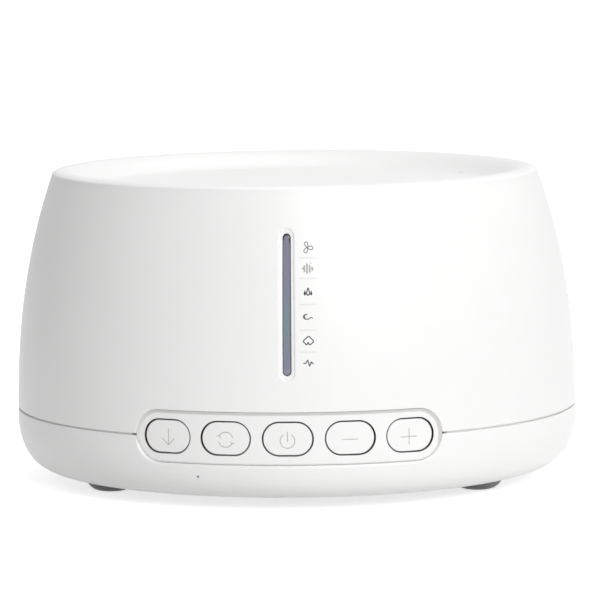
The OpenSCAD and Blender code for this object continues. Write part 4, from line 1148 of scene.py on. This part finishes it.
def foot_profile():
    """A flat middle, then a quarter of an ellipse, with rings cut by a cosine wave of the height."""
    a = np.linspace(0, math.pi / 2, 40)
    z = pad_dome_h * (1 - np.cos(a))
    dome = pad_flat_r + (pad_r - pad_flat_r) * np.sin(a)
    dome -= ring_cut * (1 - np.cos(2 * math.pi * z / ring_pitch)) / 2 * (z > ring_from_z)
    return [(0, 0), *zip(dome, z), (pad_r, pad_top_z), (0, pad_top_z)]


for name, place in FEET.items():
    foot = build("foot_pad_" + name, [lathe(foot_profile(), pad_sides, place, close=False)])
    fit(foot, "housing", ["foot_" + name], grey_rubber)

# %% [markdown]
# ## The light bar
# A strip of clear slate-grey plastic stands in the slot. Its face follows the body, and only its round
# ends are domed. What shows in it is drawn as two tints: a teal patch a little below its middle, and the
# dark line of its edge, which is painted shade.

# %% Light bar
side_steps, end_steps = 40, 24
end_dome, dome_h = 0.5, 0.4
teal_z, teal_spread = -4, 7.5
# Where the bar's painted dark edge line starts, and how strong it is on each side and at the ends.
edge_start, edge_span = 0.74, 0.24
edge_right, edge_left = 0.55, 0.4
edge_top, edge_top_more, edge_top_span = 1.1, 0.5, 0.9
edge_low, edge_low_span = 0.6, 1.2


def light_bar():
    """An upright stadium: rings grow from the middle line to the rim, then go back into the slot. Each ring
    sinks by its drop times a power of how far it points up or down, which makes a dome at the round ends
    and leaves the straight sides flat. A drop of dome_h or more is the same all round."""
    medial = (bar_l - bar_w) / 2
    side = np.linspace(-medial, medial, side_steps + 1)
    end = np.linspace(0, math.pi, end_steps + 1)
    loop_m = np.concatenate([
        np.stack([np.zeros(end_steps), np.full(end_steps, medial)], -1),
        np.stack([0 * side[1:], side[::-1][:-1]], -1),
        np.stack([np.zeros(end_steps), np.full(end_steps, -medial)], -1),
        np.stack([0 * side[1:], side[:-1]], -1),
    ])
    right = np.tile([1.0, 0.0], (side_steps, 1))
    top = np.stack([-np.cos(end), np.sin(end)], -1)[:-1]
    out = np.concatenate([top, right, -top, -right])
    drops = [
        (0.0, 0.0), (0.35, 0.01), (0.6, 0.035), (0.75, 0.07), (0.86, 0.13), (0.94, 0.22), (0.985, 0.33),
        (1.0, 0.45), (1.0, wall - bar_recess), (0.0, wall - bar_recess),
    ]
    rows = []
    for share, drop in drops:
        sunk = drop * np.abs(out[:, 1]) ** end_dome if drop < dome_h else drop
        rows.append((share, bar_recess + sunk))
    return [ringed(loop_m, out * (bar_w / 2), rows, 0, bar_z)]


def shade_window(piece):
    """Two tints: teal, a bell curve up the bar with its peak under the middle, and edge, a painted shade for
    the dark line where the clear plastic turns down into its slot, strongest round the top end and at the
    lower right."""
    x, y, z = places(piece)
    across, _ = across_and_depth(x, y, z)
    up = z - bar_z
    medial = (bar_l - bar_w) / 2
    share = np.hypot(across, up - np.clip(up, -medial, medial)) / (bar_w / 2)
    top = np.clip((up - medial + edge_top + edge_top_more * (across > 0)) / edge_top_span, 0, 1)
    low = np.clip((-up - medial + edge_low) / edge_low_span, 0, 1) * (across > 0)
    side = np.where(across > 0, edge_right, edge_left)
    line_share = np.clip((share - edge_start + edge_span * top) / edge_span, 0, 1)
    store(piece, "teal", np.exp(-((up - teal_z) / teal_spread) ** 2))
    # The edge line is painted shade.
    store(piece, "edge", line_share * (side + (1 - side) * np.maximum(top, low)))


bar_piece = build("light_window", light_bar())
shade_window(bar_piece)
fit(bar_piece, "housing", ["light_bar"], slate_window)

# %% [markdown]
# ## Signs cut into the keys
# Each key has a generic sign, cut as a shallow groove. A sign is a few strokes: straight lines and arcs,
# in millimetres from the key's middle. The distance from each point of the key's face to the nearest
# stroke gives the groove's depth, so the cut is real geometry and catches the light as it turns. A
# painted grey shade in the groove adds to it.

# %% Strokes and distances
groove_half = 0.19
groove_depth = 0.12


def line(*points):
    """A stroke along straight lines between points."""
    return np.array(points, float)


def arc(radius, start, end, centre=(0, 0), steps=28):
    """A stroke along a circle, from one angle to another in degrees, anticlockwise from the right."""
    angle = np.radians(np.linspace(start, end, steps + 1))
    return np.array(centre) + radius * np.stack([np.cos(angle), np.sin(angle)], -1)


def distance(points, strokes):
    """Distance from each point (n, 2) to the nearest stroke: the foot of the square line, kept between
    the two ends of each straight piece."""
    starts = np.concatenate([s[:-1] for s in strokes])
    spans = np.concatenate([s[1:] - s[:-1] for s in strokes])
    off = points[:, None] - starts[None]
    share = np.clip((off * spans).sum(-1) / (spans * spans).sum(-1), 0, 1)
    gap = off - share[..., None] * spans
    return np.sqrt((gap * gap).sum(-1)).min(1)


loop_middle = (-0.05, -0.3)
KEY_SIGNS = {
    "arrow": [line((0.25, 1.75), (0.2, -2.1)), line((-1.5, -0.5), (0.2, -2.1), (1.75, -0.55))],
    "loop": [
        arc(1.8, 18, 148, loop_middle), line((-2.1, 0.5), (-1.58, 0.65), (-1.3, 0.15)),
        arc(1.8, 198, 328, loop_middle), line((2.0, -1.1), (1.48, -1.25), (1.2, -0.75))],
    "power": [arc(1.75, 125, 415, (-0.1, -0.45), 56), line((-0.1, 1.6), (-0.1, -0.5))],
    "minus": [line((-2.0, -0.35), (1.8, -0.35))],
    "plus": [line((-2.35, -0.4), (1.65, -0.4)), line((-0.25, 1.5), (-0.25, -2.2))],
}
print("strokes:", {name: len(strokes) for name, strokes in KEY_SIGNS.items()})

# %% [markdown]
# ## The key caps
# Each cap is a pill of plastic with a rounded edge, a little sunk in its hole. A flange behind the panel
# stops it from coming out. The middle of its face is a fine square grid that can take the sign, and
# coarser rings lead from there to the edge.

# %% Key caps
key_sink = 0.25
cap_round = 0.14
cap_flange_w, cap_flange_t, cap_flange_gap = 0.8, 1.0, 0.08
cap_gap_span, cap_side_depths = 0.15, (0.15, 0.45)
face_half, face_steps = 2.7, 84


def key_cap(k, strokes):
    """A pill of plastic: a fine square of points in the middle, rings out to the rounded edge, and back.
    The groove is one wave of a cosine across each stroke, deepest on its line."""
    half = (key_w - key_h) / 2
    side = np.linspace(-face_half, face_half, face_steps + 1)
    x0, depth0 = key_x(k), panel_recess + key_sink
    face = np.stack(np.meshgrid(side, side), -1)
    near = np.clip(distance(face.reshape(-1, 2), strokes) / groove_half, 0, 1).reshape(face.shape[:2])
    cut = (1 + np.cos(math.pi * near)) / 2
    centre = grid(on_skin(x0 + face[..., 0], key_z + face[..., 1], depth0 + groove_depth * cut))
    middle, out, reach = rays(grid_border(side, side), half, 0)
    r = key_h / 2
    rows = [(reach, depth0)]
    for share in (0.4, 0.8):
        rows.append((reach + (r - cap_round - reach) * share, depth0))
    for a in np.linspace(0, math.pi / 2, 7):
        rows.append((r - cap_round * (1 - math.sin(a)), depth0 + cap_round * (1 - math.cos(a))))
    rows += [(r, depth0 + cap_round + deeper) for deeper in cap_side_depths]
    back = panel_recess + panel_t + cap_flange_gap
    flange_r = r + cap_flange_w
    rows += [(r, back), (flange_r, back), (flange_r, back + cap_flange_t), (0, back + cap_flange_t)]
    return [centre, ringed(middle, out, rows, x0, key_z)]


def paint_groove_shade(piece):
    """Stores how deep each point of the face lies in its sign, from 0 to 1, for the painted grey shade in the
    groove.
    """
    x, y, z = places(piece)
    across, depth = across_and_depth(x, y, z)
    cut = np.clip((depth - panel_recess - key_sink) / groove_depth, 0, 1)
    beside = across - np.round(across / key_pitch) * key_pitch
    cut *= (np.abs(z - key_z) < face_half) & (np.abs(beside) < face_half)
    cut *= depth < panel_recess + key_sink + 1.5 * groove_depth
    # Painted shade: the cap's material greys the groove by this number.
    store(piece, "groove", cut)


for k, name in enumerate(KEYS):
    cap = build("cap_" + name, key_cap(k, KEY_SIGNS[name]))
    shade_gaps(cap, panel_recess + key_sink + cap_round, cap_gap_span)
    paint_groove_shade(cap)
    fit(cap, name + "_key", ["button_" + name], white_cap)

# %% [markdown]
# ## Printed signs
# Six generic signs stand in a column beside the light bar, with short lines between them. Ink has hardly
# any thickness, so each stroke is a flat band that stands a hundredth or two of a millimetre proud of the
# skin. Its width may change along the stroke, which draws drops and curls as well as plain lines.

# %% Bands of ink
ink_proud = 0.015
ink_sunk = 0.03
sign_x, sign_lift = 5.08, 0.2
stroke_step = 0.05
peak_pull = 0.6
blade_line, blade_root, blade_fullness = 0.24, 0.35, 1.15


def curve(points, closed=False, per_span=8):
    """A smooth curve through points: each span is a cubic whose slope at a point is half the step between
    its neighbours (Catmull and Rom's rule)."""
    p = np.array(points, float)
    if closed:
        p = np.concatenate([p[-1:], p, p[:2]])
    else:
        p = np.concatenate([2 * p[:1] - p[1:2], p, 2 * p[-1:] - p[-2:-1]])
    t = np.linspace(0, 1, per_span, endpoint=False)[None, :, None]
    a, b, c, d = (p[i:len(p) - 3 + i, None] for i in range(4))
    square, cube = 2 * a - 5 * b + 4 * c - d, 3 * b - a - 3 * c + d
    spans = (2 * b + (c - a) * t + square * t ** 2 + cube * t ** 3) / 2
    flat = spans.reshape(-1, 2)
    return flat if closed else np.concatenate([flat, p[-2:-1]])


def band(path, width, z, closed=False):
    """A closed flat band along a path (n, 2), which is moved to the signs' column at the level z: each point
    moves half the width to either side, square to the path. The underside lies just inside the skin."""
    path = path + [sign_x * body_r / float(shell_r(z)), z + sign_lift]
    ahead = np.roll(path, -1, 0) - np.roll(path, 1, 0) if closed else np.gradient(path, axis=0)
    side = np.stack([-ahead[:, 1], ahead[:, 0]], -1) / np.hypot(ahead[:, 0], ahead[:, 1])[:, None]
    half = np.broadcast_to(width, len(path))[:, None] / 2
    left, right = path + side * half, path - side * half
    rows = np.stack([
        on_skin(left[:, 0], left[:, 1], -ink_proud), on_skin(right[:, 0], right[:, 1], -ink_proud),
        on_skin(right[:, 0], right[:, 1], ink_sunk), on_skin(left[:, 0], left[:, 1], ink_sunk)], 1)
    if closed:
        rows = np.concatenate([rows, rows[:1]])
    return grid(rows, wrap=True)


def stroke(path, width, z):
    """A band with round ends: the width follows a circle over its first and last half width."""
    length = np.concatenate([[0], np.cumsum(np.hypot(*np.diff(path, axis=0).T))])
    fine = np.linspace(0, length[-1], max(12, int(length[-1] / stroke_step)))
    smooth = np.stack([np.interp(fine, length, path[:, i]) for i in (0, 1)], -1)
    wide = np.interp(fine, length, np.broadcast_to(width, len(path)))
    end = np.clip(np.minimum(fine, length[-1] - fine) / (wide / 2), 0, 1)
    return band(smooth, wide * np.sqrt(1 - (1 - end) ** 2), z)


def drop(x, low, high, width, z):
    """A filled drop on its end: the width rises as a sine with its peak pulled towards the low end."""
    t = np.linspace(0, 1, 19)
    path = np.stack([np.full_like(t, x), low + (high - low) * t], -1)
    return band(path, width * np.sin(math.pi * t ** peak_pull), z)


def blade(angle, length, width, z, hub):
    """One fan blade as an outline: a loop that starts at the hub and is widest two thirds of the way out."""
    t = np.linspace(0, 2 * math.pi, 30, endpoint=False)
    along = length * (1 - np.cos(t)) / 2
    across = width / 2 * np.sin(t) * (blade_root + (1 - blade_root) * along / length) * blade_fullness
    a = math.radians(angle)
    path = np.stack([
        hub[0] + along * math.cos(a) - across * math.sin(a),
        hub[1] + along * math.sin(a) + across * math.cos(a),
    ], -1)
    return band(path, blade_line, z, closed=True)


print("points in a short stroke:", len(stroke(line((0, 0), (1, 0)), 0.3, bar_z)[0]))

# %% [markdown]
# ## The six signs
# Each sign is a short function of the level that it stands on, in millimetres from its own middle. They
# are generic pictures: a fan, level bars, trees, a wave, a cloud and a pulse. All of them and the lines
# between make one mesh, and a number for each point says how much ink it carries.

# %% The six signs
def fan(z):
    """Three blades about a hub."""
    return [blade(angle, 1.35, 1.0, z, (-0.17, 0.06)) for angle in (109, -6, 239)]


def waves(z):
    """Five upright bars, as (x, low, high), and a short slanted tick over the fourth."""
    bars = [
        (-1.3, -0.25, 0.25), (-0.93, -0.9, 0.8), (-0.28, -1.25, 1.2), (0.4, -1.0, 0.85), (1.06, -0.55, 0.42),
    ]
    sheets = [stroke(line((x, low), (x, high)), 0.46, z) for x, low, high in bars]
    return sheets + [stroke(line((0.62, 1.1), (0.8, 1.32)), 0.36, z)]


def trees(z):
    """Two filled trees, and an outlined one between them."""
    outline = curve([
        (-0.02, 0.85), (0.3, -0.1), (0.3, -0.55), (-0.02, -0.78), (-0.34, -0.55), (-0.34, -0.1)], True)
    sides = [drop(-0.82, -0.85, 0.4, 0.58, z), drop(0.74, -0.85, 0.42, 0.5, z)]
    return sides + [band(outline, 0.28, z, closed=True)]


def curl(z):
    """One curling wave, whose stroke swells a third of the way along by a bell curve."""
    path = curve([
        (-0.15, 0.57), (-0.7, 0.57), (-1.04, 0.23), (-0.93, -0.2), (-0.42, -0.5), (0.15, -0.4),
        (0.7, -0.08), (1.12, -0.34)])
    t = np.linspace(0, 1, len(path))
    return [stroke(path, 0.22 + 0.28 * np.exp(-((t - 0.35) / 0.17) ** 2), z)]


def cloud(z):
    """The outline of a cloud, with a dent in its underside."""
    path = curve([
        (0.09, 1.05), (0.62, 0.62), (1.22, -0.1), (0.78, -0.6), (0.28, -0.92), (0.02, -0.45),
        (-0.16, -0.45), (-0.42, -0.88), (-0.9, -0.5), (-1.2, -0.05), (-0.5, 0.66)], True)
    return [band(path, 0.26, z, closed=True)]


def pulse(z):
    """A heartbeat's line."""
    path = line(
        (-1.3, 0), (-0.62, 0.02), (-0.2, 0.78), (0.26, -0.72), (0.64, 0.36), (0.88, 0.02), (1.3, -0.06))
    return [stroke(path, 0.24, z)]


# drawing, level, ink
SIGNS = [
    (fan, 63.1, 0.78), (waves, 58.3, 0.55), (trees, 52.9, 1.0), (curl, 47.0, 0.95), (cloud, 41.45, 1.0),
    (pulse, 36.2, 1.0),
]
DIVIDERS = [60.82, 56.0, 49.95, 43.95, 38.83]
divider_line, divider_width, divider_ink = line((-2.15, 0), (2.0, 0)), 0.32, 0.14
sign_reach, divider_reach = 1.6, 0.4
sheets = [sheet for draw, z, _ in SIGNS for sheet in draw(z)]
sheets += [stroke(divider_line, divider_width, z) for z in DIVIDERS]
signs = build("printed_signs", sheets)
levels = np.array([z for _, z, _ in SIGNS] + DIVIDERS)
inks = np.array([ink for _, _, ink in SIGNS] + [divider_ink] * len(DIVIDERS))
reaches = np.array([sign_reach] * len(SIGNS) + [divider_reach] * len(DIVIDERS))
heights = places(signs)[2] - sign_lift
nearest = (np.abs(heights[:, None] - levels) / reaches).argmin(1)
store(signs, "ink", inks[nearest])
fit(signs, "housing", ["upper_housing"], sign_ink)

# %% [markdown]
# ## A white studio
# The machine stands on a seamless white sheet. A large soft lamp at the right and a weaker one overhead
# model the round body, and the left side is left to the room's dim even light. The camera and
# reflections see a pure white room and a sheet that glows, and other rays don't. So the background is
# bright without washing the machine out, and the sheet still takes its shadow.

# %% Lamps, room and floor
def lamp(name, place, size, power, target=(0, 0, 0.04)):
    """A rectangular soft lamp that points at the machine: place and size in metres, power in watts."""
    data = bpy.data.lights.new(name, "AREA")
    data.shape = "RECTANGLE"
    data.size, data.size_y = size
    data.energy = power
    obj = bpy.data.objects.new(name, data)
    obj.location = place
    obj.rotation_euler = (Vector(target) - Vector(place)).to_track_quat("-Z", "Y").to_euler()
    bpy.context.scene.collection.objects.link(obj)


def seen_directly(nodes, links):
    """1 for rays from the camera, in mirrors and through glass, and 0 for rays that gather soft light."""
    ray = nodes.new("ShaderNodeLightPath")
    maths = maths_in(nodes, links)
    either = maths("MAXIMUM", ray.outputs["Is Camera Ray"], ray.outputs["Is Glossy Ray"])
    return maths("MAXIMUM", either, ray.outputs["Is Transmission Ray"])


ROOM_LIGHT = 0.29
LIFT = 0.72
SHEET_WHITE = (0.87, 0.87, 0.87, 1)
sheet_half = 6
lamp("lamp_key", (0.7, -1.5, 0.95), (0.9, 0.9), 20)
lamp("lamp_top", (0.4, 0.2, 1.7), (1.2, 1.2), 14)

world = bpy.data.worlds.new("studio")
bpy.context.scene.world = world
world.use_nodes = True
nodes, links = world.node_tree.nodes, world.node_tree.links
room = nodes["Background"]
room.inputs["Color"].default_value = (1, 1, 1, 1)
room.inputs["Strength"].default_value = ROOM_LIGHT
white_room = nodes.new("ShaderNodeBackground")
white_room.inputs["Color"].default_value = (1, 1, 1, 1)
white_room.inputs["Strength"].default_value = 1
pick = nodes.new("ShaderNodeMixShader")
links.new(seen_directly(nodes, links), pick.inputs["Fac"])
links.new(room.outputs[0], pick.inputs[1])
links.new(white_room.outputs[0], pick.inputs[2])
links.new(pick.outputs[0], nodes["World Output"].inputs["Surface"])

floor_mesh = bpy.data.meshes.new("floor")
sheet_corners = [(sx * sheet_half, sy * sheet_half, 0) for sx, sy in ((-1, -1), (1, -1), (1, 1), (-1, 1))]
floor_mesh.from_pydata(sheet_corners, [], [(0, 1, 2, 3)])
floor = bpy.data.objects.new("floor", floor_mesh)
bpy.context.scene.collection.objects.link(floor)
sheet_mat = bpy.data.materials.new("white_sheet")
sheet_mat.use_nodes = True
nodes, links = sheet_mat.node_tree.nodes, sheet_mat.node_tree.links
paper = nodes["Principled BSDF"]
paper.inputs["Base Color"].default_value = SHEET_WHITE
paper.inputs["Roughness"].default_value = 1
paper.inputs["Specular IOR Level"].default_value = 0
paper.inputs["Emission Color"].default_value = (1, 1, 1, 1)
glow = maths_in(nodes, links)("MULTIPLY", seen_directly(nodes, links), LIFT)
links.new(glow, paper.inputs["Emission Strength"])
floor_mesh.materials.append(sheet_mat)

# %% [markdown]
# ## The view transform
# Colours are shown with the standard view transform.

# %% View transform
bpy.context.scene.view_settings.view_transform = "Standard"
